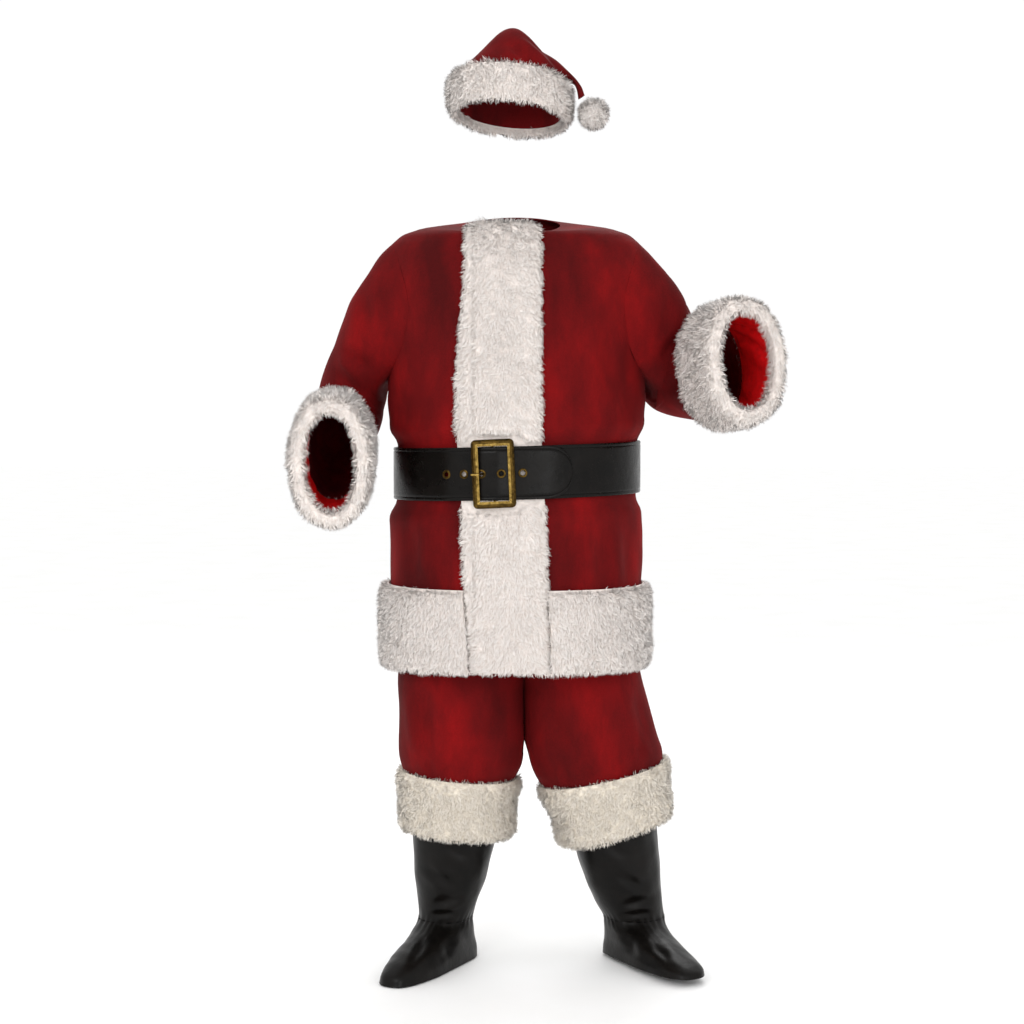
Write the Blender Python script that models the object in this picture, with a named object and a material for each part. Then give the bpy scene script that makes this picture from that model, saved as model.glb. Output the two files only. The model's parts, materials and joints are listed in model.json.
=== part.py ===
"""A Santa suit in the pose of wear: velvet jacket and trousers, fur trims, belt, boot tops and hat.

Metres, +Z up, the front faces -Y. The origin is the middle of the neck opening on the shoulder
line. "Right" and "left" are the wearer's, so left is +X. Every tube of the suit is a stack of
rings, and "drop" is a ring's distance below the shoulder line.
"""

import math

import bmesh
import bpy
import numpy as np

# Cloth and leather.
VELVET = 0.0022
SATIN = 0.0010
VINYL = 0.0020
STRAP = 0.0030
SEAM_GAP = 0.0003
BACKING = 0.0020

# Jacket.
ARMHOLE_DROP = 0.190
ARMHOLE_HALF_HEIGHT = 0.140
ARMHOLE_HALF_ANGLE = math.radians(40)
HEM_DROP = 0.895
CUFF_LENGTH = 0.140
LINING_LENGTH = 0.139

# Fur trims: how far the pile reaches from the cloth it is sewn to.
PILE = 0.025
PLACKET_PILE = 0.021
PRESSED_PILE = 0.0048
HEM_BAND = 0.155
TROUSER_CUFF = 0.106

# Belt.
BELT_DROP = 0.508
BELT_WIDTH = 0.1016
BELT_SLOPE = 0.028
BELT_LIFT = 0.0060
EYELETS_AT = (-0.1280, -0.0955, -0.0630, -0.0270, 0.0125)
EYELET_HOLE = 0.0048
EYELET_FLANGE = 0.0090
BUCKLE_AT = -0.041
BUCKLE_SIZE = (0.082, 0.131)
BUCKLE_BAR = 0.012
BUCKLE_THICK = 0.0065
TAIL_END = 0.104
INNER_END = -0.033

# Hat.
POMPOM_RADIUS = 0.035
POMPOM_AT = (0.1520, -0.045, 0.1905)

# A ring of a tube. "tilt" raises its outer side and "turn" swings its front outwards, both in
# degrees; "dip" lowers its front; "square" is 2 for an ellipse and more for a boxier ring.
RING = ("drop", "x", "y", "half", "front", "back", "square", "tilt", "turn", "dip")
COLUMN = {name: place for place, name in enumerate(RING)}

JACKET = (
    (0.000, 0.000, 0.000, 0.088, 0.082, 0.080, 2.0, 0, 0, 0.045),
    (0.010, 0.000, 0.000, 0.163, 0.100, 0.094, 2.1, 0, 0, 0.032),
    (0.026, 0.000, 0.000, 0.210, 0.112, 0.104, 2.2, 0, 0, 0.020),
    (0.050, 0.000, 0.000, 0.240, 0.124, 0.114, 2.3, 0, 0, 0.009),
    (0.100, 0.000, 0.000, 0.259, 0.145, 0.128, 2.4, 0, 0, 0.000),
    (0.200, 0.000, 0.000, 0.260, 0.168, 0.138, 2.4, 0, 0, 0.000),
    (0.300, 0.000, 0.000, 0.257, 0.188, 0.145, 2.3, 0, 0, 0.000),
    (0.400, 0.002, 0.000, 0.253, 0.205, 0.148, 2.3, 0, 0, 0.000),
    (0.430, 0.002, 0.000, 0.248, 0.2060, 0.148, 2.3, 0, 0, 0.000),
    (0.448, 0.002, 0.000, 0.2405, 0.2045, 0.1455, 2.3, 0, 0, 0.000),
    (0.508, 0.002, 0.000, 0.2400, 0.2040, 0.1450, 2.3, 0, 0, 0.000),
    (0.574, 0.001, 0.000, 0.2405, 0.2045, 0.1455, 2.3, 0, 0, 0.000),
    (0.594, 0.001, 0.000, 0.247, 0.2060, 0.148, 2.3, 0, 0, 0.000),
    (0.660, 0.000, 0.000, 0.250, 0.203, 0.150, 2.3, 0, 0, 0.000),
    (0.780, -0.001, 0.000, 0.251, 0.200, 0.153, 2.3, 0, 0, 0.000),
    (0.900, -0.002, 0.000, 0.252, 0.198, 0.156, 2.3, 0, 0, -0.010),
)

# The wearer's right leg stands straight and the left one leans out. "x" is outwards.
TROUSER_RIGHT = (
    (0.560, 0.000, 0.000, 0.218, 0.135, 0.130, 2.2, 0, 0, 0),
    (0.660, 0.020, 0.000, 0.209, 0.138, 0.128, 2.2, 0, 0, 0),
    (0.760, 0.062, 0.000, 0.170, 0.134, 0.122, 2.2, 0, 0, 0),
    (0.860, 0.102, 0.000, 0.131, 0.132, 0.116, 2.2, 0, 0, 0),
    (0.930, 0.1115, 0.000, 0.1265, 0.131, 0.120, 2.3, 0, 0, 0),
    (1.000, 0.1115, 0.002, 0.1265, 0.130, 0.128, 2.3, 0, 0, 0),
    (1.060, 0.1100, 0.004, 0.1270, 0.128, 0.124, 2.3, 2, 0, 0),
    (1.095, 0.1110, 0.006, 0.1230, 0.122, 0.118, 2.2, 4, 0, 0),
    (1.125, 0.1150, 0.008, 0.1120, 0.110, 0.108, 2.1, 5, 0, 0),
    (1.160, 0.1185, 0.010, 0.1010, 0.100, 0.100, 2.1, 5, 0, 0),
    (1.232, 0.1200, 0.010, 0.1000, 0.099, 0.099, 2.1, 5, 0, 0),
)
TROUSER_LEFT = (
    (0.560, 0.000, 0.000, 0.218, 0.135, 0.130, 2.2, 0, 0, 0),
    (0.660, 0.022, 0.000, 0.207, 0.138, 0.128, 2.2, 0, 0, 0),
    (0.760, 0.068, 0.000, 0.164, 0.134, 0.120, 2.2, 0, 0, 0),
    (0.860, 0.115, 0.000, 0.122, 0.132, 0.110, 2.2, 0, 0, 0),
    (0.930, 0.1355, 0.000, 0.1180, 0.131, 0.114, 2.3, 0, 0, 0),
    (0.970, 0.1415, 0.000, 0.1225, 0.132, 0.122, 2.3, 0, 0, 0),
    (1.010, 0.1475, 0.002, 0.1275, 0.131, 0.128, 2.3, 1, 0, 0),
    (1.055, 0.1545, 0.004, 0.1330, 0.130, 0.126, 2.3, 4, 0, 0),
    (1.095, 0.1650, 0.006, 0.1320, 0.126, 0.122, 2.2, 9, 0, 0),
    (1.130, 0.1780, 0.008, 0.1200, 0.114, 0.112, 2.1, 14, 0, 0),
    (1.165, 0.1890, 0.010, 0.1060, 0.102, 0.102, 2.1, 16.5, 0, 0),
    (1.230, 0.2010, 0.010, 0.1040, 0.100, 0.100, 2.1, 16.5, 0, 0),
)
WAISTBAND = (
    (0.520, 0.000, 0.000, 0.210, 0.130, 0.126, 2.2, 0, 0, 0),
    (0.5595, 0.000, 0.000, 0.218, 0.135, 0.130, 2.2, 0, 0, 0),
)

SHAFT_RIGHT = (
    (1.175, 0.1220, 0.012, 0.0840, 0.080, 0.082, 2.1, 4, 6, 0),
    (1.270, 0.1275, 0.014, 0.0815, 0.078, 0.082, 2.1, 4, 10, 0),
    (1.330, 0.1330, 0.016, 0.0720, 0.072, 0.076, 2.1, 3, 14, 0),
    (1.380, 0.1385, 0.018, 0.0610, 0.064, 0.064, 2.1, 2, 18, 0),
    (1.4195, 0.1430, 0.020, 0.0530, 0.058, 0.054, 2.1, 0, 24, 0),
)
SHAFT_LEFT = (
    (1.175, 0.1920, 0.012, 0.0860, 0.082, 0.084, 2.1, 14, 6, 0),
    (1.270, 0.2060, 0.016, 0.0840, 0.080, 0.084, 2.1, 12, 10, 0),
    (1.330, 0.2170, 0.020, 0.0770, 0.074, 0.078, 2.1, 9, 14, 0),
    (1.380, 0.2290, 0.024, 0.0680, 0.067, 0.068, 2.1, 5, 18, 0),
    (1.4195, 0.2400, 0.028, 0.0600, 0.060, 0.058, 2.1, 0, 22, 0),
)
FOOT_RIGHT = (
    (1.4205, 0.1430, 0.020, 0.0530, 0.060, 0.054, 2.1, 0, 24, 0),
    (1.432, 0.1430, 0.020, 0.0540, 0.080, 0.055, 2.1, 0, 24, 0),
    (1.446, 0.1425, 0.020, 0.0540, 0.125, 0.056, 2.2, 0, 25, 0),
    (1.458, 0.1420, 0.020, 0.0545, 0.170, 0.056, 2.3, 0, 25, 0),
    (1.470, 0.1415, 0.020, 0.0550, 0.205, 0.057, 2.5, 0, 26, 0),
    (1.484, 0.1410, 0.020, 0.0555, 0.228, 0.058, 2.8, 0, 26, 0),
    (1.504, 0.1410, 0.020, 0.0560, 0.238, 0.059, 2.9, 0, 26, 0),
)
FOOT_LEFT = (
    (1.4205, 0.2400, 0.028, 0.0600, 0.062, 0.058, 2.1, 0, 22, 0),
    (1.432, 0.2395, 0.028, 0.0590, 0.082, 0.058, 2.1, 0, 22, 0),
    (1.446, 0.2400, 0.028, 0.0580, 0.127, 0.058, 2.2, 0, 24, 0),
    (1.458, 0.2400, 0.028, 0.0575, 0.173, 0.058, 2.3, 0, 25, 0),
    (1.470, 0.2400, 0.028, 0.0570, 0.209, 0.058, 2.5, 0, 26, -0.002),
    (1.484, 0.2400, 0.028, 0.0570, 0.232, 0.059, 2.8, 0, 26, -0.006),
    (1.504, 0.2400, 0.028, 0.0570, 0.241, 0.060, 2.9, 0, 26, -0.014),
)

# A sleeve's rings: a point on the arm's outer side, one on its inner side, and how far the ring
# reaches to the front and to the back of the upper arm, which are the top and the bottom of the
# forearm. "shaped" is 0 where the ring is the armhole's own curve and 1 past it.
SLEEVE = (
    ("outer_x", "outer_y", "outer_z")
    + ("inner_x", "inner_y", "inner_z")
    + ("front", "back", "shaped")
)
SLEEVE_RIGHT = (
    (-0.243, 0.000, -0.050, -0.257, 0.000, -0.330, 0.100, 0.100, 0.00),
    (-0.268, 0.002, -0.075, -0.2620, 0.002, -0.341, 0.100, 0.100, 0.35),
    (-0.302, 0.006, -0.127, -0.2645, 0.006, -0.356, 0.098, 0.100, 0.75),
    (-0.336, 0.012, -0.195, -0.2665, 0.012, -0.373, 0.095, 0.100, 1.00),
    (-0.364, 0.018, -0.262, -0.2685, 0.016, -0.393, 0.088, 0.100, 1.00),
    (-0.388, 0.020, -0.325, -0.2710, 0.012, -0.418, 0.078, 0.100, 1.00),
    (-0.402, 0.008, -0.375, -0.2760, -0.002, -0.436, 0.072, 0.100, 1.00),
    (-0.408, -0.020, -0.412, -0.2820, -0.025, -0.446, 0.076, 0.102, 1.00),
    (-0.409, -0.058, -0.436, -0.2860, -0.062, -0.454, 0.088, 0.103, 1.00),
    (-0.408, -0.120, -0.455, -0.2880, -0.120, -0.463, 0.100, 0.103, 1.00),
    (-0.406, -0.200, -0.471, -0.2900, -0.200, -0.475, 0.103, 0.103, 1.00),
    (-0.404, -0.290, -0.4865, -0.2880, -0.290, -0.4875, 0.104, 0.104, 1.00),
)
SLEEVE_LEFT = (
    (0.243, 0.000, -0.050, 0.257, 0.000, -0.330, 0.100, 0.100, 0.00),
    (0.266, 0.003, -0.074, 0.2620, 0.003, -0.342, 0.100, 0.100, 0.35),
    (0.295, 0.012, -0.115, 0.2650, 0.010, -0.358, 0.098, 0.100, 0.75),
    (0.326, 0.025, -0.168, 0.2700, 0.020, -0.374, 0.092, 0.100, 1.00),
    (0.354, 0.040, -0.215, 0.2820, 0.015, -0.388, 0.082, 0.100, 1.00),
    (0.378, 0.040, -0.248, 0.2960, -0.012, -0.384, 0.074, 0.100, 1.00),
    (0.400, 0.020, -0.272, 0.3000, -0.042, -0.366, 0.078, 0.100, 1.00),
    (0.420, -0.010, -0.290, 0.3060, -0.072, -0.344, 0.088, 0.100, 1.00),
    (0.442, -0.070, -0.303, 0.3220, -0.124, -0.315, 0.098, 0.100, 1.00),
    (0.464, -0.130, -0.303, 0.3440, -0.180, -0.305, 0.100, 0.100, 1.00),
    (0.493, -0.208, -0.296, 0.3710, -0.264, -0.296, 0.101, 0.101, 1.00),
)

# The hat's crown, folded over to the left: each ring spans from the upper edge of the crown to
# its lower edge. "depth" is half its thickness from front to back, and "lean" raises its front.
CROWN = ("upper_x", "upper_z", "lower_x", "lower_z", "y", "depth", "lean")
HAT_CROWN = (
    (-0.1130, 0.2080, 0.0880, 0.1880, -0.0200, 0.1020, 0.17),
    (-0.1130, 0.2350, 0.0885, 0.2150, -0.0200, 0.1020, 0.17),
    (-0.1110, 0.2620, 0.0895, 0.2400, -0.0200, 0.1000, 0.17),
    (-0.0980, 0.2860, 0.0910, 0.2480, -0.0200, 0.0950, 0.16),
    (-0.0640, 0.3190, 0.0930, 0.2510, -0.0210, 0.0860, 0.12),
    (-0.0320, 0.3500, 0.0950, 0.2520, -0.0220, 0.0720, 0.05),
    (-0.0060, 0.3600, 0.0970, 0.2520, -0.0240, 0.0600, 0.00),
    (0.0160, 0.3500, 0.0995, 0.2520, -0.0260, 0.0500, 0.00),
    (0.0440, 0.3200, 0.1030, 0.2515, -0.0290, 0.0400, 0.00),
    (0.0795, 0.2940, 0.1080, 0.2510, -0.0330, 0.0290, 0.00),
    (0.1085, 0.2690, 0.1150, 0.2475, -0.0380, 0.0190, 0.00),
    (0.1270, 0.2460, 0.1195, 0.2360, -0.0420, 0.0110, 0.00),
    (0.1345, 0.2270, 0.1220, 0.2190, -0.0440, 0.0080, 0.00),
)
HAT_BAND = (
    (-0.270, -0.0120, -0.020, 0.1040, 0.104, 0.104, 2.05, -5.5, 0, -0.040),
    (-0.150, -0.0120, -0.020, 0.1050, 0.105, 0.105, 2.05, -5.5, 0, -0.040),
)

# Where the placket's two edges run, as "drop", right edge and left edge.
PLACKET_EDGES = (
    (0.030, -0.098, 0.046),
    (0.150, -0.098, 0.047),
    (0.230, -0.106, 0.047),
    (0.420, -0.113, 0.047),
    (0.560, -0.104, 0.054),
    (0.680, -0.100, 0.057),
    (0.900, -0.088, 0.066),
)

VELVET_RED = ("red velvet", (0.100, 0.0022, 0.0040), 0.85, 0.0)
SATIN_RED = ("red satin", (0.260, 0.0060, 0.0090), 0.35, 0.0)
FUR_WHITE = ("white fur", (0.780, 0.690, 0.620), 0.95, 0.0)
FUR_CREAM = ("cream fur", (0.720, 0.630, 0.520), 0.95, 0.0)
VINYL_BLACK = ("black vinyl", (0.006, 0.0055, 0.005), 0.38, 0.0)
BRASS_OLD = ("antique brass", (0.180, 0.110, 0.035), 0.35, 1.0)
ELASTIC_RED = ("red elastic", (0.090, 0.004, 0.005), 0.9, 0.0)


def table_row(table, position):
    """The smooth in-between rows of a table, whose first column is the position."""
    rows = np.asarray(table, float)
    keys = rows[:, 0]
    slopes = np.gradient(rows, keys, axis=0)
    at = np.clip(position, keys[0] - 0.05, keys[-1] + 0.05)
    low = np.clip(np.searchsorted(keys, at, side="right") - 1, 0, len(keys) - 2)
    span = keys[low + 1] - keys[low]
    part = (at - keys[low]) / span
    inside = np.clip(part, 0.0, 1.0)[..., None]
    square, cube = inside**2, inside**3
    value = (2 * cube - 3 * square + 1) * rows[low]
    value = value + (cube - 2 * square + inside) * span[..., None] * slopes[low]
    value = value + (3 * square - 2 * cube) * rows[low + 1]
    value = value + (cube - square) * span[..., None] * slopes[low + 1]
    past = (part[..., None] - inside) * span[..., None]
    return value + past * np.where(part[..., None] < 0.5, slopes[low], slopes[low + 1])


def smooth_step(start, end, value):
    part = np.clip((np.asarray(value, float) - start) / (end - start), 0.0, 1.0)
    return part * part * (3 - 2 * part)


def bent(value, square):
    """The sine or cosine of a ring whose squareness is given."""
    return np.sign(value) * np.abs(value) ** (2.0 / square)


def ring_surface(table, side=1):
    """The surface through a table of rings, as a function of drop and angle from the front."""

    def surface(drop, angle):
        drop, angle = np.broadcast_arrays(np.asarray(drop, float), np.asarray(angle, float))
        row = table_row(table, drop)

        def column(name):
            return row[..., COLUMN[name]]

        sine = bent(np.sin(angle), column("square"))
        cosine = bent(np.cos(angle), column("square"))
        across = column("half") * sine
        depth = -np.where(cosine > 0, column("front"), column("back")) * cosine
        tilt, turn = np.radians(column("tilt")), np.radians(column("turn"))
        rise = across * np.sin(tilt) - column("dip") * (1 + np.cos(angle)) / 2
        across = across * np.cos(tilt)
        outwards = column("x") + across * np.cos(turn) - depth * np.sin(turn)
        forwards = column("y") + across * np.sin(turn) + depth * np.cos(turn)
        return np.stack([side * outwards, forwards, rise - column("drop")], axis=-1)

    return surface


def lifted(surface, along, around, out, flip=1, step=2e-4):
    """Points of a surface moved out from it along its own normal."""
    along, around, out = np.broadcast_arrays(
        np.asarray(along, float), np.asarray(around, float), np.asarray(out, float)
    )
    down = surface(along + step, around) - surface(along - step, around)
    across = surface(along, around + step * 4) - surface(along, around - step * 4)
    normal = np.cross(down, across) * flip
    normal /= np.maximum(np.linalg.norm(normal, axis=-1, keepdims=True), 1e-12)
    return surface(along, around) + normal * out[..., None]


def turned_out(surface, along, around, middle):
    """1 or -1, so that the surface's normal points away from a middle point."""
    here = surface(np.float64(along), np.float64(around))
    there = lifted(surface, along, around, 0.01)
    return 1 if np.dot(there - here, here - np.asarray(middle)) > 0 else -1


def material_of(kind):
    name, colour, roughness, metallic = kind
    material = bpy.data.materials.get(name) or bpy.data.materials.new(name)
    material.use_nodes = True
    shader = next(n for n in material.node_tree.nodes if n.type == "BSDF_PRINCIPLED")
    shader.inputs["Base Color"].default_value = (*colour, 1.0)
    shader.inputs["Roughness"].default_value = roughness
    shader.inputs["Metallic"].default_value = metallic
    material.diffuse_color = (*colour, 1.0)
    return material


def add_solid(name, points, faces, kind):
    """One named object from points and faces, turned so that its faces look outwards."""
    mesh = bpy.data.meshes.new(name)
    mesh.from_pydata([tuple(point) for point in np.asarray(points).reshape(-1, 3)], [], faces)
    shaped = bmesh.new()
    shaped.from_mesh(mesh)
    bmesh.ops.recalc_face_normals(shaped, faces=shaped.faces)
    if shaped.calc_volume(signed=True) < 0:
        bmesh.ops.reverse_faces(shaped, faces=shaped.faces)
    shaped.to_mesh(mesh)
    shaped.free()
    mesh.materials.append(material_of(kind))
    built = bpy.data.objects.new(name, mesh)
    bpy.context.scene.collection.objects.link(built)
    return built


def shell(name, outer, inner, kind, closed=False):
    """A thin solid between two grids of points. A closed one runs round in its columns."""
    rows, columns = outer.shape[:2]
    spans = columns if closed else columns - 1
    inside = rows * columns

    def at(row, column, layer=0):
        return layer * inside + row * columns + column % columns

    faces = []
    for row in range(rows - 1):
        for column in range(spans):
            corners = ((row, column), (row, column + 1), (row + 1, column + 1), (row + 1, column))
            faces.append(tuple(at(*corner) for corner in corners))
            faces.append(tuple(at(*corner, 1) for corner in reversed(corners)))
    for column in range(spans):
        for row in (0, rows - 1):
            corners = ((row, column, 1), (row, column + 1, 1), (row, column + 1), (row, column))
            faces.append(tuple(at(*corner) for corner in corners))
    if not closed:
        for row in range(rows - 1):
            for column in (0, columns - 1):
                corners = ((row, column, 1), (row + 1, column, 1), (row + 1, column), (row, column))
                faces.append(tuple(at(*corner) for corner in corners))
    points = np.concatenate([outer.reshape(-1, 3), inner.reshape(-1, 3)])
    return add_solid(name, points, faces, kind)


def sweep(name, sections, kind, closed=False):
    """A solid through a row of closed outlines, capped at both ends or closed into a ring."""
    count, size = sections.shape[:2]
    faces = []
    for number in range(count if closed else count - 1):
        here, there = number * size, ((number + 1) % count) * size
        for place in range(size):
            following = (place + 1) % size
            faces.append((here + place, here + following, there + following, there + place))
    if not closed:
        faces.append(tuple(reversed(range(size))))
        faces.append(tuple(range((count - 1) * size, count * size)))
    return add_solid(name, sections, faces, kind)


jacket = ring_surface(JACKET)


def armhole(side, around):
    """The armhole's curve on the jacket: round from the shoulder's point, first to the front."""
    drop = ARMHOLE_DROP - ARMHOLE_HALF_HEIGHT * np.cos(around)
    return jacket(drop, side * (math.pi / 2 - ARMHOLE_HALF_ANGLE * np.sin(around)))


def armhole_reach(drop):
    """How far the armhole opens at a drop, as an angle to each side of the side line."""
    part = (np.asarray(drop, float) - ARMHOLE_DROP) / ARMHOLE_HALF_HEIGHT
    return ARMHOLE_HALF_ANGLE * np.sqrt(np.clip(1 - part**2, 0.0, 1.0))


def jacket_rows():
    """The drops of the jacket's rows. Those beside the armhole share the sleeve's first ring."""
    beside = ARMHOLE_DROP - ARMHOLE_HALF_HEIGHT * np.cos(np.linspace(0, math.pi, 11))
    above = np.array([0.0, 0.012, 0.024, 0.037])
    below = np.array([0.390, 0.440, 0.485, 0.530, 0.580, 0.660, 0.780, HEM_DROP])
    return np.concatenate([above, beside, below])


def add_jacket():
    drops = jacket_rows()
    gap = 0.0006
    reach = armhole_reach(drops) + gap
    edge = math.pi / 2 - reach
    outwards = turned_out(jacket, 0.3, 0.3, (0, 0, -0.3))
    for name, side in (("jacket_front_right", -1), ("jacket_front_left", 1)):
        share = np.linspace(0, 1, 8)
        angles = side * (gap * 0.5 + (edge[:, None] - gap * 0.5) * share[None, :])
        outer = jacket(drops[:, None], angles)
        inner = lifted(jacket, drops[:, None], angles, -VELVET, outwards)
        shell(name, outer, inner, VELVET_RED)
    share = np.linspace(-1, 1, 15)
    angles = math.pi + (math.pi / 2 - reach)[:, None] * share[None, :]
    outer = jacket(drops[:, None], angles)
    inner = lifted(jacket, drops[:, None], angles, -VELVET, outwards)
    shell("jacket_back", outer, inner, VELVET_RED)


def sleeve_surface(side, table):
    """The sleeve as a function of the way along it in metres and the angle round it."""
    rows = np.asarray(table, float)
    middles = (rows[:, 0:3] + rows[:, 3:6]) / 2
    steps = np.linalg.norm(np.diff(middles, axis=0), axis=1)
    keyed = np.column_stack([np.concatenate([[0.0], np.cumsum(steps)]), rows])

    def middle(row):
        return (row[..., 1:4] + row[..., 4:7]) / 2

    def surface(along, around):
        along, around = np.broadcast_arrays(np.asarray(along, float), np.asarray(around, float))
        row = table_row(keyed, along)
        axis = middle(table_row(keyed, along + 2e-3)) - middle(table_row(keyed, along - 2e-3))
        outer = (row[..., 1:4] - row[..., 4:7]) / 2
        across = side * np.cross(axis, outer)
        across /= np.linalg.norm(across, axis=-1, keepdims=True)
        cosine, sine = bent(np.cos(around), 2.15), bent(np.sin(around), 2.15)
        reach = np.where(sine > 0, row[..., 7], row[..., 8]) * sine
        ring = middle(row) + cosine[..., None] * outer + reach[..., None] * across
        joined = armhole(side, around) + (middle(row) - middles[0])
        shaped = np.clip(row[..., 9], 0.0, 1.0)[..., None]
        return joined * (1 - shaped) + ring * shaped

    return surface, keyed[-1, 0], middles


def band_outline(length, pile, lip_in, lip_out, stand):
    """A fur band's outline as (way past the cloth's edge, distance out from the cloth)."""
    inside = -VELVET - SATIN - 7 * SEAM_GAP
    return (
        (-length, stand),
        (-length - 0.004, pile * 0.55),
        (-length + 0.010, pile * 0.95),
        (-length * 0.45, pile * 1.04),
        (-0.006, pile),
        (lip_out * 0.75, pile * 0.62),
        (lip_out, 0.0),
        (lip_out * 0.7, -lip_in * 0.65),
        (-0.004, -lip_in),
        (-lip_in * 0.8, -lip_in * 0.85),
        (-lip_in - 0.002, inside),
        (SEAM_GAP * 2, inside),
        (SEAM_GAP * 2, stand),
        (-length * 0.5, stand),
    )


def add_band(name, surface, edge, outline, outwards, kind, count=20):
    around = np.linspace(0, 2 * math.pi, count, endpoint=False)
    outline = np.asarray(outline)
    points = lifted(surface, edge + outline[None, :, 0], around[:, None], outline[None, :, 1], outwards)
    return sweep(name, points, kind, closed=True)


def add_sleeve(side, table, word):
    surface, length, middles = sleeve_surface(side, table)
    around = np.linspace(0, 2 * math.pi, 20, endpoint=False)
    ways = np.concatenate(
        [[SEAM_GAP * 2, 0.020, 0.045], np.linspace(0.075, length - CUFF_LENGTH, 8), [length - 0.07, length]]
    )
    outwards = turned_out(surface, length - 0.08, 0.5, middles[-2])
    outer = surface(ways[:, None], around[None, :])
    inner = lifted(surface, ways[:, None], around[None, :], -VELVET, outwards)
    # The first ring keeps clear of the jacket's edge all round the armhole.
    centre = outer[0].mean(axis=0)
    for ring in (outer, inner):
        spoke = centre - ring[0]
        ring[0] += spoke / np.linalg.norm(spoke, axis=-1, keepdims=True) * 0.0008
    # Two panels a sleeve, seamed along the top of the arm and under it.
    columns = np.arange(11)
    for name, first in (("front", 0), ("back", 10)):
        grids = [layer[:, (columns + first) % 20].copy() for layer in (outer, inner)]
        for grid in grids:
            for edge, beside in ((0, 1), (-1, -2)):
                inwards = grid[:, beside] - grid[:, edge]
                inwards /= np.linalg.norm(inwards, axis=-1, keepdims=True)
                grid[:, edge] += inwards * SEAM_GAP
        shell(f"sleeve_{name}_{word}", *grids, VELVET_RED)
    ways = np.array([length - LINING_LENGTH, length - 0.07, length - 0.004])
    outer = lifted(surface, ways[:, None], around[None, :], -VELVET - 4 * SEAM_GAP, outwards)
    inner = lifted(surface, ways[:, None], around[None, :], -VELVET - 4 * SEAM_GAP - SATIN, outwards)
    shell(f"cuff_lining_{word}", outer, inner, SATIN_RED, closed=True)
    outline = band_outline(CUFF_LENGTH, PILE * 1.04, 0.020, 0.018, SEAM_GAP * 5)
    add_band(f"cuff_fur_{word}", surface, length, outline, outwards, FUR_WHITE)


def front_angle(drop, x):
    """The angle on the jacket's front where x is reached."""
    row = table_row(JACKET, np.asarray(drop, float))
    share = (np.asarray(x, float) - row[..., COLUMN["x"]]) / row[..., COLUMN["half"]]
    square = row[..., COLUMN["square"]]
    return np.arcsin(np.clip(np.sign(share) * np.abs(share) ** (square / 2), -1, 1))


def belt_middle(x):
    """The drop of the belt's middle line, which climbs towards the wearer's left."""
    return BELT_DROP - BELT_SLOPE * np.asarray(x, float)


def placket_edges(drop):
    edges = table_row(PLACKET_EDGES, np.asarray(drop, float))
    return edges[..., 1], edges[..., 2]


def placket_pile(drop, x):
    """The placket's pile, pressed flat behind the belt and behind the taller buckle."""
    near = np.abs(drop - belt_middle(x)) - BELT_WIDTH / 2
    behind = smooth_step(-0.104, -0.084, x) * (1 - smooth_step(0.002, 0.022, x))
    free = smooth_step(0.0035, 0.018, near - 0.0165 * behind)
    return PRESSED_PILE + (PLACKET_PILE - PRESSED_PILE) * free


def add_placket():
    outwards = turned_out(jacket, 0.3, 0.3, (0, 0, -0.3))
    rows = jacket_rows()
    belt_top, belt_end = BELT_DROP - BELT_WIDTH / 2, BELT_DROP + BELT_WIDTH / 2
    drops = np.concatenate(
        [
            [0.004],
            rows[(rows > 0.01) & (rows < 0.40)],
            [belt_top - 0.036, belt_top - 0.020, belt_top - 0.010, belt_top],
            [BELT_DROP],
            [belt_end + 0.002, belt_end + 0.012, belt_end + 0.022, belt_end + 0.038],
            [0.66, 0.78, HEM_DROP, HEM_DROP + 0.007],
        ]
    )
    profile = ((0, 0), (-0.02, 0.45), (0.04, 0.92), (0.25, 1.0), (0.5, 1.0), (0.75, 1.0))
    profile = profile + ((0.96, 0.92), (1.02, 0.45), (1, 0), (0.75, 0), (0.5, 0), (0.25, 0))
    profile = np.asarray(profile)
    right, left = placket_edges(drops)
    x = right[:, None] + (left - right)[:, None] * profile[None, :, 0]
    pile = placket_pile(drops[:, None], x)
    pile[0] *= 0.6
    pile[-1] *= 0.7
    out = BACKING + pile * profile[None, :, 1]
    angle = front_angle(drops[:, None], x)
    points = lifted(jacket, np.broadcast_to(drops[:, None], angle.shape), angle, out, outwards)
    sweep("placket_fur", points, FUR_WHITE)


def add_hem_band():
    outwards = turned_out(jacket, 0.3, 0.3, (0, 0, -0.3))
    outline = np.asarray(
        (
            (-HEM_BAND, BACKING),
            (-HEM_BAND - 0.004, PILE * 0.5),
            (-HEM_BAND + 0.012, PILE * 0.93),
            (-HEM_BAND * 0.5, PILE),
            (-0.012, PILE * 0.93),
            (0.008, PILE * 0.55),
            (0.009, 0.0),
            (0.004, -0.003),
            (SEAM_GAP * 3, -0.002),
            (SEAM_GAP * 3, BACKING),
            (-HEM_BAND * 0.5, BACKING),
        )
    )
    drop = HEM_DROP + outline[:, 0]
    right, left = placket_edges(drop)
    quarter = np.full_like(drop, math.pi / 2)
    spans = (
        ("hem_fur_right", front_angle(drop, right - 0.008), -quarter + 0.002, 10),
        ("hem_fur_left", front_angle(drop, left + 0.008), quarter - 0.002, 10),
        ("hem_fur_back", quarter, quarter * 3, 18),
    )
    for name, start, end, count in spans:
        share = np.linspace(0, 1, count)[:, None]
        angles = start[None, :] + (end - start)[None, :] * share
        points = lifted(jacket, drop[None, :], angles, outline[None, :, 1], outwards)
        sweep(name, points, FUR_WHITE)


def seam_plane(drop):
    """Where the trousers' two halves meet, as x."""
    return 0.0155 * smooth_step(0.58, 0.82, drop)


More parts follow.
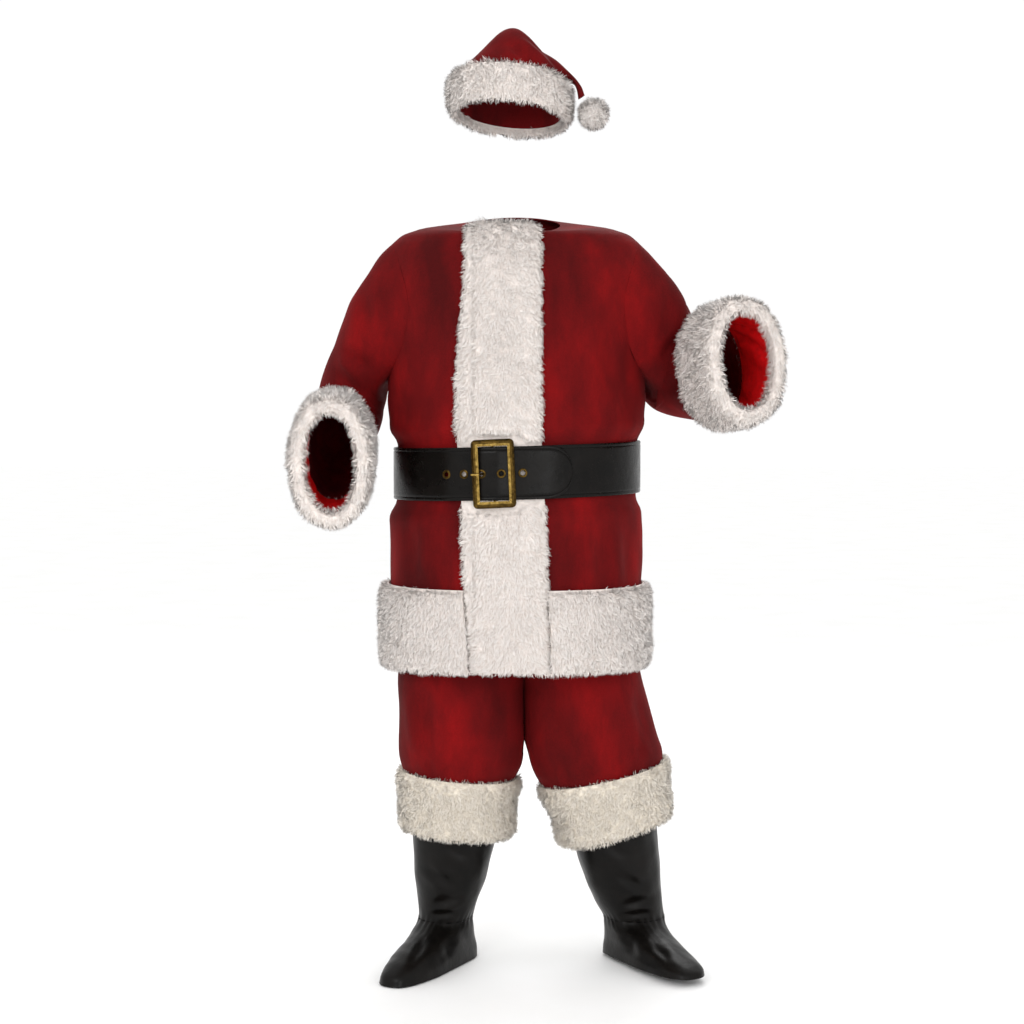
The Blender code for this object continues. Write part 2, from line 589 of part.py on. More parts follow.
def add_trouser_leg(side, table, word):
    surface = ring_surface(table, side)
    outwards = turned_out(surface, 1.0, 1.0, surface(1.0, np.array([0.0, math.pi])).mean(axis=0))
    hem = table[-1][0]
    upper = [0.5605, 0.66, 0.74, 0.80, 0.85, 0.89, 0.93, 0.97, 1.01, 1.05, 1.08, 1.105]
    cuff = [hem - TROUSER_CUFF, hem - TROUSER_CUFF * 0.75, hem - TROUSER_CUFF * 0.5, hem]
    drops = np.array(upper + cuff)
    row = table_row(table, drops)
    wanted = side * seam_plane(drops)
    share = (wanted + 0.0002 - row[:, COLUMN["x"]]) / row[:, COLUMN["half"]]
    inner_angle = -np.arcsin(np.clip(-share, 0.0, 1.0) ** (row[:, COLUMN["square"]] / 2))
    gap = 0.0006
    inner_angle = np.maximum(inner_angle, -math.pi / 2 + gap)
    parts = np.linspace(0, 1, 9)
    for name, is_back in ((f"trouser_front_{word}", False), (f"trouser_back_{word}", True)):
        angles = inner_angle[:, None] + (math.pi / 2 - gap - inner_angle)[:, None] * parts[None, :]
        if is_back:
            angles = math.pi - angles
        outer = surface(drops[:, None], angles)
        inner = lifted(surface, drops[:, None], angles, -VELVET, outwards)
        limit = seam_plane(drops)[:, None] * side
        for layer in (outer, inner):
            layer[..., 0] = side * np.maximum(side * layer[..., 0], limit + 0.0002)
        shell(name, outer, inner, VELVET_RED)
    outline = band_outline(TROUSER_CUFF, PILE, 0.006, 0.010, BACKING)
    add_band(f"trouser_cuff_fur_{word}", surface, hem, outline, outwards, FUR_CREAM, 16)


def add_tube(name, table, side, drops, thick, kind, count=20):
    surface = ring_surface(table, side)
    middle = surface(drops[0], np.array([0.0, math.pi])).mean(axis=0)
    outwards = turned_out(surface, drops[0], 1.0, middle)
    around = np.linspace(0, 2 * math.pi, count, endpoint=False)
    outer = surface(np.asarray(drops)[:, None], around[None, :])
    inner = lifted(surface, np.asarray(drops)[:, None], around[None, :], -thick, outwards)
    shell(name, outer, inner, kind, closed=True)


def add_boot_top(side, shaft, foot, word):
    drops = [1.175, 1.225, 1.270, 1.320, 1.370, 1.4195]
    add_tube(f"boot_shaft_{word}", shaft, side, drops, VINYL, VINYL_BLACK)
    drops = [1.4205, 1.432, 1.446, 1.458, 1.470, 1.484, 1.504]
    add_tube(f"boot_foot_{word}", foot, side, drops, VINYL, VINYL_BLACK, 24)


def belt_surface(along, around):
    """The belt's bed: a way down from its middle line and an angle round the jacket."""
    along, around = np.broadcast_arrays(np.asarray(along, float), np.asarray(around, float))
    row = table_row(JACKET, np.full(around.shape, BELT_DROP))
    x = row[..., COLUMN["x"]] + row[..., COLUMN["half"]] * bent(np.sin(around), row[..., 6])
    drop = belt_middle(x) + along
    bed = jacket(np.full(around.shape, BELT_DROP), around)
    bed[..., 2] = -drop
    return bed


def belt_bed(around):
    """How far the strap stands off: over the placket it is lifted by the pressed pile."""
    x = belt_surface(0.0, around)[..., 0]
    front = np.cos(around) > 0
    lift = smooth_step(-0.175, -0.118, x) * (1 - smooth_step(0.058, 0.110, x))
    return 0.0036 + BELT_LIFT * np.where(front, lift, 0.0)


def belt_angle(x):
    """The angle on the belt's front where x is reached."""
    row = table_row(JACKET, np.float64(BELT_DROP))
    share = (x - row[COLUMN["x"]]) / row[COLUMN["half"]]
    return math.asin(math.copysign(abs(share) ** (row[COLUMN["square"]] / 2), share))


BELT_OUTWARDS = turned_out(belt_surface, 0.0, 0.2, (0, 0, -BELT_DROP))


def tail_lift(x):
    """The tail rides over the strap's inner end, and over the buckle's bar and prong."""
    over_strap = (STRAP + 0.0006) * smooth_step(-0.122, -0.044, x)
    over_bar = 0.0034 * smooth_step(-0.090, -0.055, x) * (1 - smooth_step(-0.038, -0.010, x))
    return over_strap + over_bar


def tail_point(x, out, down=0.0):
    """A point at x on the tail's front, a distance out from the strap's outer face."""
    angle = belt_angle(x)
    lift = float(belt_bed(np.float64(angle))) + float(tail_lift(x)) + STRAP
    return lifted(belt_surface, down, angle, lift + out, BELT_OUTWARDS)


def add_belt():
    start, end = belt_angle(INNER_END), belt_angle(TAIL_END) + 2 * math.pi
    front = belt_angle(-0.165) + 2 * math.pi
    first = np.linspace(start, math.pi / 2, 14)
    round_back = np.linspace(math.pi / 2, math.pi * 1.5, 25)[1:-1]
    side = np.linspace(math.pi * 1.5, front, 7)[:-1]
    last = [belt_angle(x) + 2 * math.pi for x in np.linspace(-0.165, TAIL_END, 26)]
    angles = np.concatenate([first, round_back, side, last])
    x = belt_surface(0.0, angles)[..., 0]
    second_turn = angles > math.pi * 1.5
    lift = belt_bed(angles) + np.where(second_turn, tail_lift(x), 0.0)
    # The tail's end is rounded: its corners draw in over the last of its length.
    left = np.clip((end - angles) * 0.235 / 0.050, 0.0, 1.0)
    half = BELT_WIDTH / 2 * np.where(second_turn, np.sqrt(1 - (1 - left) ** 2 * 0.72), 1.0)
    share = np.array([-1.0, -0.36, 0.36, 1.0])
    down = half[:, None] * share[None, :]
    outer = lifted(belt_surface, down, angles[:, None], lift[:, None] + STRAP, BELT_OUTWARDS)
    inner = lifted(belt_surface, down, angles[:, None], lift[:, None], BELT_OUTWARDS)
    strap = shell("belt_strap", outer, inner, VINYL_BLACK)
    for number, at in enumerate(EYELETS_AT, 1):
        hole = EYELET_HOLE + 0.0012
        plug = ((0.0, -0.008), (hole, -0.008), (hole, 0.008), (0.0, 0.008))
        cutter = add_turned(f"hole_cutter_{number}", at, plug, 12, VINYL_BLACK)
        cutter.hide_render = True
        cut = strap.modifiers.new(f"hole_{number}", "BOOLEAN")
        cut.operation = "DIFFERENCE"
        cut.object = cutter
        rim = (
            (EYELET_HOLE, -STRAP),
            (EYELET_HOLE + 0.0008, -STRAP),
            (EYELET_HOLE + 0.0008, 0.0003),
            (EYELET_FLANGE, 0.0003),
            (EYELET_FLANGE - 0.001, 0.0014),
            (EYELET_HOLE + 0.001, 0.0018),
            (EYELET_HOLE, 0.0008),
        )
        add_turned(f"eyelet_{number}", at, rim, 16, BRASS_OLD)


def strap_frame(x):
    """The place on the tail at x, with its own right, up and out directions."""
    here = tail_point(x, 0.0)
    right = tail_point(x + 0.006, 0.0) - tail_point(x - 0.006, 0.0)
    up = tail_point(x, 0.0, -0.006) - tail_point(x, 0.0, 0.006)
    right /= np.linalg.norm(right)
    up -= right * np.dot(up, right)
    up /= np.linalg.norm(up)
    return here, right, up, np.cross(right, up)


def add_turned(name, x, rim, count, kind):
    """A ring or a plug turned about the tail's normal at x. Its outline is (radius, out)."""
    here, right, up, out = strap_frame(x)
    solid = rim[0][0] == 0.0
    outline = rim[1:-1] if solid else rim
    sections = []
    for number in range(count):
        angle = 2 * math.pi * number / count
        spoke = right * math.cos(angle) + up * math.sin(angle)
        sections.append([here + spoke * radius + out * height for radius, height in outline])
    if not solid:
        return sweep(name, np.asarray(sections), kind, closed=True)
    ends = np.asarray(sections)
    faces = [tuple(range(0, 2 * count, 2)), tuple(reversed(range(1, 2 * count, 2)))]
    for number in range(count):
        here_at, there = 2 * number, 2 * ((number + 1) % count)
        faces.append((here_at, here_at + 1, there + 1, there))
    return add_solid(name, ends, faces, kind)


def buckle_axes():
    """The buckle lies flat against the belly: its middle and its right, up and out directions."""
    slope = math.atan(BELT_SLOPE) + math.radians(0.9)
    right = np.array([math.cos(slope), 0.0, math.sin(slope)])
    out = np.array([-0.10, -1.0, -0.01])
    out -= right * np.dot(out, right)
    out /= np.linalg.norm(out)
    up = np.cross(out, right)
    middle = tail_point(BUCKLE_AT, 0.0)
    ends = [tail_point(BUCKLE_AT + side * 0.035, 0.0, down)
            for side in (-1.25, -1, -0.75, 0.75, 1, 1.25) for down in (-0.05, 0.0, 0.05)]
    clearance = max(np.dot(point - middle, out) for point in ends) + 0.0007
    return middle + out * clearance, right, up, out


def add_buckle():
    middle, right, up, out = buckle_axes()
    half_x, half_z = BUCKLE_SIZE[0] / 2 - BUCKLE_BAR / 2, BUCKLE_SIZE[1] / 2 - BUCKLE_BAR / 2
    corner = 0.009
    path = []
    for quarter in range(4):
        corner_x = (half_x - corner) * (1 if quarter in (0, 3) else -1)
        corner_z = (half_z - corner) * (1 if quarter in (0, 1) else -1)
        for step in range(4):
            angle = math.pi / 2 * (quarter + step / 3)
            path.append((corner_x + corner * math.cos(angle), corner_z + corner * math.sin(angle), angle))
    half, deep = BUCKLE_BAR / 2, BUCKLE_THICK
    outline = (
        (-half, 0.0),
        (-half, deep * 0.4),
        (-half * 0.35, deep),
        (half * 0.45, deep * 0.8),
        (half, deep * 0.3),
        (half, 0.0),
    )
    sections = []
    for x, z, angle in path:
        away = right * math.cos(angle) + up * math.sin(angle)
        base = middle + right * x + up * z
        sections.append([base + away * wide + out * high for wide, high in outline])
    sweep("buckle_frame", np.asarray(sections), BRASS_OLD, closed=True)
    # The bar passes behind the tail, and its ends turn forward to the frame's back.
    back = float(np.dot(tail_point(BUCKLE_AT, -STRAP - 0.0030) - middle, out))
    reach = half_z - 0.001
    way = [(-reach, -0.0030), (-reach + 0.001, back * 0.6), (-reach + 0.006, back), (0.0, back)]
    way = way + [(-z, deep) for z, deep in reversed(way[:-1])]
    add_rod("buckle_bar", [middle + up * z + out * deep for z, deep in way], 0.0024, 8, BRASS_OLD)
    edge = BUCKLE_AT - 0.0035
    hole = EYELETS_AT[2]
    marks = (
        (edge, -STRAP - 0.0032),
        (hole + 0.0050, -STRAP - 0.0030),
        (hole + 0.0018, -STRAP),
        (hole, 0.0008),
        (hole - 0.0024, 0.0078),
    )
    points = [tail_point(x, height) for x, height in marks]
    front = BUCKLE_THICK + 0.0042
    for x in (-half_x + 0.0065, -half_x, -half_x - 0.008):
        points.append(middle + right * x + out * front)
    points[-1] = points[-1] - out * 0.0008
    add_rod("buckle_prong", points, 0.0018, 8, BRASS_OLD)


def add_rod(name, points, radius, count, kind):
    points = np.asarray(points)
    sections = []
    for number, point in enumerate(points):
        along = points[min(number + 1, len(points) - 1)] - points[max(number - 1, 0)]
        along /= np.linalg.norm(along)
        first = np.cross(along, (0.13, 0.31, 0.94) if abs(along[2]) < 0.7 else (1.0, 0.2, 0.0))
        first /= np.linalg.norm(first)
        second = np.cross(along, first)
        ring = []
        for step in range(count):
            angle = 2 * math.pi * step / count
            ring.append(point + radius * (first * math.cos(angle) + second * math.sin(angle)))
        sections.append(ring)
    sweep(name, np.asarray(sections), kind)


def crown_surface(along, around):
    """The hat's crown: a row number along it and an angle round it, from the upper edge."""
    along, around = np.broadcast_arrays(np.asarray(along, float), np.asarray(around, float))
    keyed = np.column_stack([np.arange(len(HAT_CROWN)), np.asarray(HAT_CROWN)])
    row = table_row(keyed, along)
    upper = np.stack([row[..., 1], row[..., 5], row[..., 2]], axis=-1)
    lower = np.stack([row[..., 3], row[..., 5], row[..., 4]], axis=-1)
    share = (1 + bent(np.cos(around), 2.1))[..., None] / 2
    point = upper * share + lower * (1 - share)
    forwards = row[..., 6] * bent(np.sin(around), 2.1)
    point[..., 1] -= forwards
    point[..., 2] += forwards * row[..., 7]
    return point


def add_hat():
    around = np.linspace(0, 2 * math.pi, 20, endpoint=False)
    ways = np.arange(len(HAT_CROWN), dtype=float)
    outwards = turned_out(crown_surface, 1.0, 0.6, (-0.012, -0.02, 0.23))
    outer = crown_surface(ways[:, None], around[None, :])
    inner = lifted(crown_surface, ways[:, None], around[None, :], -VELVET, outwards, step=2e-3)
    for place, ring in enumerate(inner):
        centre = outer[place].mean(axis=0)
        inner[place] = np.where(
            (np.linalg.norm(outer[place] - centre, axis=-1) < 0.02)[:, None],
            centre + (outer[place] - centre) * 0.72,
            ring,
        )
    shell("hat_crown", outer, inner, VELVET_RED, closed=True)
    surface = ring_surface(HAT_BAND)
    outwards = turned_out(surface, -0.20, 1.0, (-0.012, -0.02, 0.22))
    outline = np.asarray(
        (
            (-0.234, 0.004),
            (-0.237, 0.012),
            (-0.227, 0.021),
            (-0.203, 0.0235),
            (-0.180, 0.021),
            (-0.167, 0.012),
            (-0.169, 0.004),
            (-0.180, 0.0026),
            (-0.203, 0.0026),
            (-0.225, 0.0026),
        )
    )
    around = np.linspace(0, 2 * math.pi, 24, endpoint=False)
    points = lifted(surface, outline[None, :, 0], around[:, None], outline[None, :, 1], outwards)
    sweep("hat_band_fur", points, FUR_WHITE, closed=True)
    add_ball("hat_pompom", POMPOM_AT, POMPOM_RADIUS, FUR_WHITE)


def add_ball(name, middle, radius, kind, rows=8, count=14):
    points = [np.array(middle) + (0, 0, radius)]
    for row in range(1, rows):
        high = math.pi * row / rows
        for step in range(count):
            angle = 2 * math.pi * step / count
            spoke = (math.sin(high) * math.cos(angle), math.sin(high) * math.sin(angle), math.cos(high))
            points.append(np.array(middle) + radius * np.array(spoke))
    points.append(np.array(middle) - (0, 0, radius))
    faces = []
    for step in range(count):
        following = (step + 1) % count
        faces.append((0, 1 + step, 1 + following))
        for row in range(rows - 2):
            here, there = 1 + row * count, 1 + (row + 1) * count
            faces.append((here + step, there + step, there + following, here + following))
        base = 1 + (rows - 2) * count
        faces.append((base + step, len(points) - 1, base + following))
    return add_solid(name, points, faces, kind)


def main():
    for old in list(bpy.data.objects):
        bpy.data.objects.remove(old)
    add_jacket()
    add_sleeve(-1, SLEEVE_RIGHT, "right")
    add_sleeve(1, SLEEVE_LEFT, "left")
    add_placket()
    add_hem_band()
    add_trouser_leg(-1, TROUSER_RIGHT, "right")
    add_trouser_leg(1, TROUSER_LEFT, "left")
    add_tube("waistband", WAISTBAND, 1, [0.520, 0.5595], 0.003, ELASTIC_RED)
    add_belt()
    add_buckle()
    add_boot_top(-1, SHAFT_RIGHT, FOOT_RIGHT, "right")
    add_boot_top(1, SHAFT_LEFT, FOOT_LEFT, "left")
    add_hat()


main()
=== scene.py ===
"""A Santa suit in the pose of wear: velvet, satin, plush fur, vinyl and brass over its CAD frame.

Metres, +Z up, the front faces -Y, and "right" and "left" are the wearer's, so left is +X. Every
tube of the suit is a stack of rings, and "drop" is a ring's distance below the shoulder line.
The shape tables are those of the CAD solids, so each sheet lies where its solid is.
"""

import json
import math

import bmesh
import bpy
import numpy as np
from mathutils import Matrix, Vector, kdtree

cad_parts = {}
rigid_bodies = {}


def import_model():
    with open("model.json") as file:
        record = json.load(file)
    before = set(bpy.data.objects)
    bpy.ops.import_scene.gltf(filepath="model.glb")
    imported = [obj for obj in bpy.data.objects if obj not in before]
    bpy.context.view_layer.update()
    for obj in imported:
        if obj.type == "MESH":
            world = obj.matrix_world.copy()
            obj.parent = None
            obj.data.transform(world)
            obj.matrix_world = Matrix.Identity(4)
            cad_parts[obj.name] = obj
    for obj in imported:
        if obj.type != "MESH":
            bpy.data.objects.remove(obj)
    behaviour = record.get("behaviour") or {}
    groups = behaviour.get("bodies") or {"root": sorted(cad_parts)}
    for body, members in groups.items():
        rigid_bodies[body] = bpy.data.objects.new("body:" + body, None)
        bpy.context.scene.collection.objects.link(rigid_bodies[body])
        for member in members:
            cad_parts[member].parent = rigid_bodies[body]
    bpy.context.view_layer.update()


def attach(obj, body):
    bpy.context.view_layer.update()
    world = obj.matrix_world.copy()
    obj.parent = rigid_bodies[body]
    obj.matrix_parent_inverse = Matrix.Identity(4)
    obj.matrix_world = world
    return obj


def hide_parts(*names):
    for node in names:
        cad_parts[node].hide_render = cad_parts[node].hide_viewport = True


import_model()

bl_info = {
    "name": "Santa suit",
    "version": (1, 0, 0),
    "blender": (4, 5, 0),
    "location": "View3D > Sidebar > Santa suit",
    "description": "Builds a velvet Santa suit with fur trims, belt, boot tops and hat",
    "category": "Add Mesh",
}

# Thickness of the cloths, of the leathercloth and of the fur's backing.
VELVET = 0.0022
SATIN = 0.0010
VINYL = 0.0020
STRAP = 0.0030
ELASTIC = 0.0026
BACKING = 0.0020
# The room left where cloths meet, and at the edges of panels as an angle.
SEAM_GAP = 0.0003
PANEL_GAP = 0.0006
# The render material and the slot of each kind of cloth.
CLOTHS = {
    "velvet": ("woven_velvet_red", "velvet_red"),
    "satin": ("woven_satin_red", "satin_red"),
    "elastic": ("gathered_elastic_red", "elastic_red"),
    "boot": ("calendered_vinyl_boot", "vinyl_black"),
}
# The wearer's sides, with the sign of x on each.
SIDES = ((-1, "right"), (1, "left"))

# Jacket and its lining, the waistband's ribs and the boot tops' seam.
ARMHOLE_DROP = 0.190
ARMHOLE_HALF_HEIGHT = 0.140
ARMHOLE_HALF_ANGLE = math.radians(40)
HEM_DROP = 0.895
CUFF_LENGTH = 0.140
LINING_LENGTH = 0.139
LINING_FULLNESS = 0.0055
RIB_HEIGHT = 0.0009
ANKLE_SEAM = 1.420

# Fur trims: how far the pile reaches from the cloth it is sewn to.
PILE = 0.025
PLACKET_PILE = 0.021
PRESSED_PILE = 0.0048
HEM_BAND = 0.155
TROUSER_CUFF = 0.106
# How far the hem's fur starts beside the placket.
HEM_CLEAR = 0.0025
# Points drawn for each corner of a trim's outline.
CURVE_POINTS = 3
# Hairs on a trim for each one on the placket.
CUFF_HAIRS = 0.70
TROUSER_CUFF_HAIRS = 0.58
HAT_BAND_HAIRS = 0.50
POMPOM_HAIRS = 0.22
# A hair: its width, how thick its strip is, how deep its root is set and how far it strays.
HAIR_WIDTH = 0.0014
HAIR_THICKNESS = 0.0001
ROOT_DEPTH = 0.0008
HAIR_STRAY = 0.24
# The share of a hair's length at each point of its front and back, and the faces between them.
HAIR_SHARES = (0.0, 0.0, 0.5, 0.5, 1.0) * 2
HAIR_FACES = ((0, 1, 3), (0, 3, 2), (2, 3, 4), (5, 8, 6), (5, 7, 8), (7, 9, 8))
# How many hairs share a lock, and how far they lean towards its tip.
LOCK_HAIRS = 30
LOCK_PULL = 0.36

# Belt and buckle.
BELT_DROP = 0.508
BELT_WIDTH = 0.1016
BELT_SLOPE = 0.028
BELT_LIFT = 0.0060
EYELETS_AT = (-0.1280, -0.0955, -0.0630, -0.0270, 0.0125)
EYELET_HOLE = 0.0048
BUCKLE_AT = -0.041
BUCKLE_SIZE = (0.082, 0.131)
BUCKLE_BAR = 0.012
TAIL_END = 0.104
TAIL_CURL = 0.0022
INNER_END = -0.033
FRONT_START = -0.165
BUCKLE_SHEET = 0.0026
# In from the strap's edge, and up from its back: the turned edge, then the row of stitches.
BELT_EDGE = (
    (0.0010, 0.0),
    (0.0, 0.0006),
    (0.0, STRAP * 0.62),
    (0.0011, STRAP * 0.93),
    (0.0030, STRAP),
    (0.0054, STRAP * 0.98),
    (0.0066, STRAP * 0.66),
    (0.0078, STRAP * 0.98),
    (0.0120, STRAP),
)

# Hat.
POMPOM_RADIUS = 0.035
POMPOM_AT = (0.1520, -0.045, 0.1905)

# Stage. Each softbox has a name, a place, a width and a power in watts.
FLOOR_HEIGHT = -1.506
FLOOR_SIZE = 60.0
ROOM_LIGHT = 1.02
SOFTBOXES = (
    ("softbox_key", (-1.4, -3.7, 1.0), 2.0, 40.0),
    ("softbox_fill", (1.3, -4.1, -0.2), 2.0, 26.0),
    ("softbox_back", (0.4, 2.8, 1.8), 2.0, 40.0),
)
SOFTBOXES_TOWARDS = (0.0, 0.0, -0.5)
CAMERA_AT = (-0.004, -4.0, -0.37)
CAMERA_TOWARDS = (-0.008, 0.0, -0.594)
CAMERA_LENS = 70.2

# A ring of a tube. "tilt" raises its outer side and "turn" swings its front outwards, both in
# degrees; "dip" lowers its front; "square" is 2 for an ellipse and more for a boxier ring.
RING = ("drop", "x", "y", "half", "front", "back", "square", "tilt", "turn", "dip")
COLUMN = {name: place for place, name in enumerate(RING)}

JACKET = (
    (0.000, 0.000, 0.000, 0.088, 0.082, 0.080, 2.0, 0, 0, 0.045),
    (0.010, 0.000, 0.000, 0.163, 0.100, 0.094, 2.1, 0, 0, 0.032),
    (0.026, 0.000, 0.000, 0.210, 0.112, 0.104, 2.2, 0, 0, 0.020),
    (0.050, 0.000, 0.000, 0.240, 0.124, 0.114, 2.3, 0, 0, 0.009),
    (0.100, 0.000, 0.000, 0.259, 0.145, 0.128, 2.4, 0, 0, 0.000),
    (0.200, 0.000, 0.000, 0.260, 0.168, 0.138, 2.4, 0, 0, 0.000),
    (0.300, 0.000, 0.000, 0.257, 0.188, 0.145, 2.3, 0, 0, 0.000),
    (0.400, 0.002, 0.000, 0.253, 0.205, 0.148, 2.3, 0, 0, 0.000),
    (0.430, 0.002, 0.000, 0.248, 0.2060, 0.148, 2.3, 0, 0, 0.000),
    (0.448, 0.002, 0.000, 0.2405, 0.2045, 0.1455, 2.3, 0, 0, 0.000),
    (0.508, 0.002, 0.000, 0.2400, 0.2040, 0.1450, 2.3, 0, 0, 0.000),
    (0.574, 0.001, 0.000, 0.2405, 0.2045, 0.1455, 2.3, 0, 0, 0.000),
    (0.594, 0.001, 0.000, 0.247, 0.2060, 0.148, 2.3, 0, 0, 0.000),
    (0.660, 0.000, 0.000, 0.250, 0.203, 0.150, 2.3, 0, 0, 0.000),
    (0.780, -0.001, 0.000, 0.251, 0.200, 0.153, 2.3, 0, 0, 0.000),
    (0.900, -0.002, 0.000, 0.252, 0.198, 0.156, 2.3, 0, 0, -0.010),
)

# The wearer's right leg stands straight and the left one leans out. "x" is outwards.
TROUSER_RIGHT = (
    (0.560, 0.000, 0.000, 0.218, 0.135, 0.130, 2.2, 0, 0, 0),
    (0.660, 0.020, 0.000, 0.209, 0.138, 0.128, 2.2, 0, 0, 0),
    (0.760, 0.062, 0.000, 0.170, 0.134, 0.122, 2.2, 0, 0, 0),
    (0.860, 0.102, 0.000, 0.131, 0.132, 0.116, 2.2, 0, 0, 0),
    (0.930, 0.1115, 0.000, 0.1265, 0.131, 0.120, 2.3, 0, 0, 0),
    (1.000, 0.1115, 0.002, 0.1265, 0.130, 0.128, 2.3, 0, 0, 0),
    (1.060, 0.1100, 0.004, 0.1270, 0.128, 0.124, 2.3, 2, 0, 0),
    (1.095, 0.1110, 0.006, 0.1230, 0.122, 0.118, 2.2, 4, 0, 0),
    (1.125, 0.1150, 0.008, 0.1120, 0.110, 0.108, 2.1, 5, 0, 0),
    (1.160, 0.1185, 0.010, 0.1010, 0.100, 0.100, 2.1, 5, 0, 0),
    (1.232, 0.1200, 0.010, 0.1000, 0.099, 0.099, 2.1, 5, 0, 0),
)
TROUSER_LEFT = (
    (0.560, 0.000, 0.000, 0.218, 0.135, 0.130, 2.2, 0, 0, 0),
    (0.660, 0.022, 0.000, 0.207, 0.138, 0.128, 2.2, 0, 0, 0),
    (0.760, 0.068, 0.000, 0.164, 0.134, 0.120, 2.2, 0, 0, 0),
    (0.860, 0.115, 0.000, 0.122, 0.132, 0.110, 2.2, 0, 0, 0),
    (0.930, 0.1355, 0.000, 0.1180, 0.131, 0.114, 2.3, 0, 0, 0),
    (0.970, 0.1415, 0.000, 0.1225, 0.132, 0.122, 2.3, 0, 0, 0),
    (1.010, 0.1475, 0.002, 0.1275, 0.131, 0.128, 2.3, 1, 0, 0),
    (1.055, 0.1545, 0.004, 0.1330, 0.130, 0.126, 2.3, 4, 0, 0),
    (1.095, 0.1650, 0.006, 0.1320, 0.126, 0.122, 2.2, 9, 0, 0),
    (1.130, 0.1780, 0.008, 0.1200, 0.114, 0.112, 2.1, 14, 0, 0),
    (1.165, 0.1890, 0.010, 0.1060, 0.102, 0.102, 2.1, 16.5, 0, 0),
    (1.230, 0.2010, 0.010, 0.1040, 0.100, 0.100, 2.1, 16.5, 0, 0),
)
WAISTBAND = (
    (0.520, 0.000, 0.000, 0.210, 0.130, 0.126, 2.2, 0, 0, 0),
    (0.5595, 0.000, 0.000, 0.218, 0.135, 0.130, 2.2, 0, 0, 0),
)

SHAFT_RIGHT = (
    (1.175, 0.1220, 0.012, 0.0840, 0.080, 0.082, 2.1, 4, 6, 0),
    (1.270, 0.1275, 0.014, 0.0815, 0.078, 0.082, 2.1, 4, 10, 0),
    (1.330, 0.1330, 0.016, 0.0720, 0.072, 0.076, 2.1, 3, 14, 0),
    (1.380, 0.1385, 0.018, 0.0610, 0.064, 0.064, 2.1, 2, 18, 0),
    (1.4195, 0.1430, 0.020, 0.0530, 0.058, 0.054, 2.1, 0, 24, 0),
)
SHAFT_LEFT = (
    (1.175, 0.1920, 0.012, 0.0860, 0.082, 0.084, 2.1, 14, 6, 0),
    (1.270, 0.2060, 0.016, 0.0840, 0.080, 0.084, 2.1, 12, 10, 0),
    (1.330, 0.2170, 0.020, 0.0770, 0.074, 0.078, 2.1, 9, 14, 0),
    (1.380, 0.2290, 0.024, 0.0680, 0.067, 0.068, 2.1, 5, 18, 0),
    (1.4195, 0.2400, 0.028, 0.0600, 0.060, 0.058, 2.1, 0, 22, 0),
)
FOOT_RIGHT = (
    (1.4205, 0.1430, 0.020, 0.0530, 0.060, 0.054, 2.1, 0, 24, 0),
    (1.432, 0.1430, 0.020, 0.0540, 0.080, 0.055, 2.1, 0, 24, 0),
    (1.446, 0.1425, 0.020, 0.0540, 0.125, 0.056, 2.2, 0, 25, 0),
    (1.458, 0.1420, 0.020, 0.0545, 0.170, 0.056, 2.3, 0, 25, 0),
    (1.470, 0.1415, 0.020, 0.0550, 0.205, 0.057, 2.5, 0, 26, 0),
    (1.484, 0.1410, 0.020, 0.0555, 0.228, 0.058, 2.8, 0, 26, 0),
    (1.504, 0.1410, 0.020, 0.0560, 0.238, 0.059, 2.9, 0, 26, 0),
)
FOOT_LEFT = (
    (1.4205, 0.2400, 0.028, 0.0600, 0.062, 0.058, 2.1, 0, 22, 0),
    (1.432, 0.2395, 0.028, 0.0590, 0.082, 0.058, 2.1, 0, 22, 0),
    (1.446, 0.2400, 0.028, 0.0580, 0.127, 0.058, 2.2, 0, 24, 0),
    (1.458, 0.2400, 0.028, 0.0575, 0.173, 0.058, 2.3, 0, 25, 0),
    (1.470, 0.2400, 0.028, 0.0570, 0.209, 0.058, 2.5, 0, 26, -0.002),
    (1.484, 0.2400, 0.028, 0.0570, 0.232, 0.059, 2.8, 0, 26, -0.006),
    (1.504, 0.2400, 0.028, 0.0570, 0.241, 0.060, 2.9, 0, 26, -0.014),
)

# A sleeve's rings: x, y, z on the arm's outer side, x, y, z on its inner side, and how far the
# ring reaches to the front and to the back of the upper arm, which are the top and the bottom of
# the forearm. The last number is 0 where the ring is the armhole's own curve and 1 past it.
SLEEVE_RIGHT = (
    (-0.243, 0.000, -0.050, -0.257, 0.000, -0.330, 0.100, 0.100, 0.00),
    (-0.268, 0.002, -0.075, -0.2620, 0.002, -0.341, 0.100, 0.100, 0.35),
    (-0.302, 0.006, -0.127, -0.2645, 0.006, -0.356, 0.098, 0.100, 0.75),
    (-0.336, 0.012, -0.195, -0.2665, 0.012, -0.373, 0.095, 0.100, 1.00),
    (-0.364, 0.018, -0.262, -0.2685, 0.016, -0.393, 0.088, 0.100, 1.00),
    (-0.388, 0.020, -0.325, -0.2710, 0.012, -0.418, 0.078, 0.100, 1.00),
    (-0.402, 0.008, -0.375, -0.2760, -0.002, -0.436, 0.072, 0.100, 1.00),
    (-0.408, -0.020, -0.412, -0.2820, -0.025, -0.446, 0.076, 0.102, 1.00),
    (-0.409, -0.058, -0.436, -0.2860, -0.062, -0.454, 0.088, 0.103, 1.00),
    (-0.408, -0.120, -0.455, -0.2880, -0.120, -0.463, 0.100, 0.103, 1.00),
    (-0.406, -0.200, -0.471, -0.2900, -0.200, -0.475, 0.103, 0.103, 1.00),
    (-0.404, -0.290, -0.4865, -0.2880, -0.290, -0.4875, 0.104, 0.104, 1.00),
)
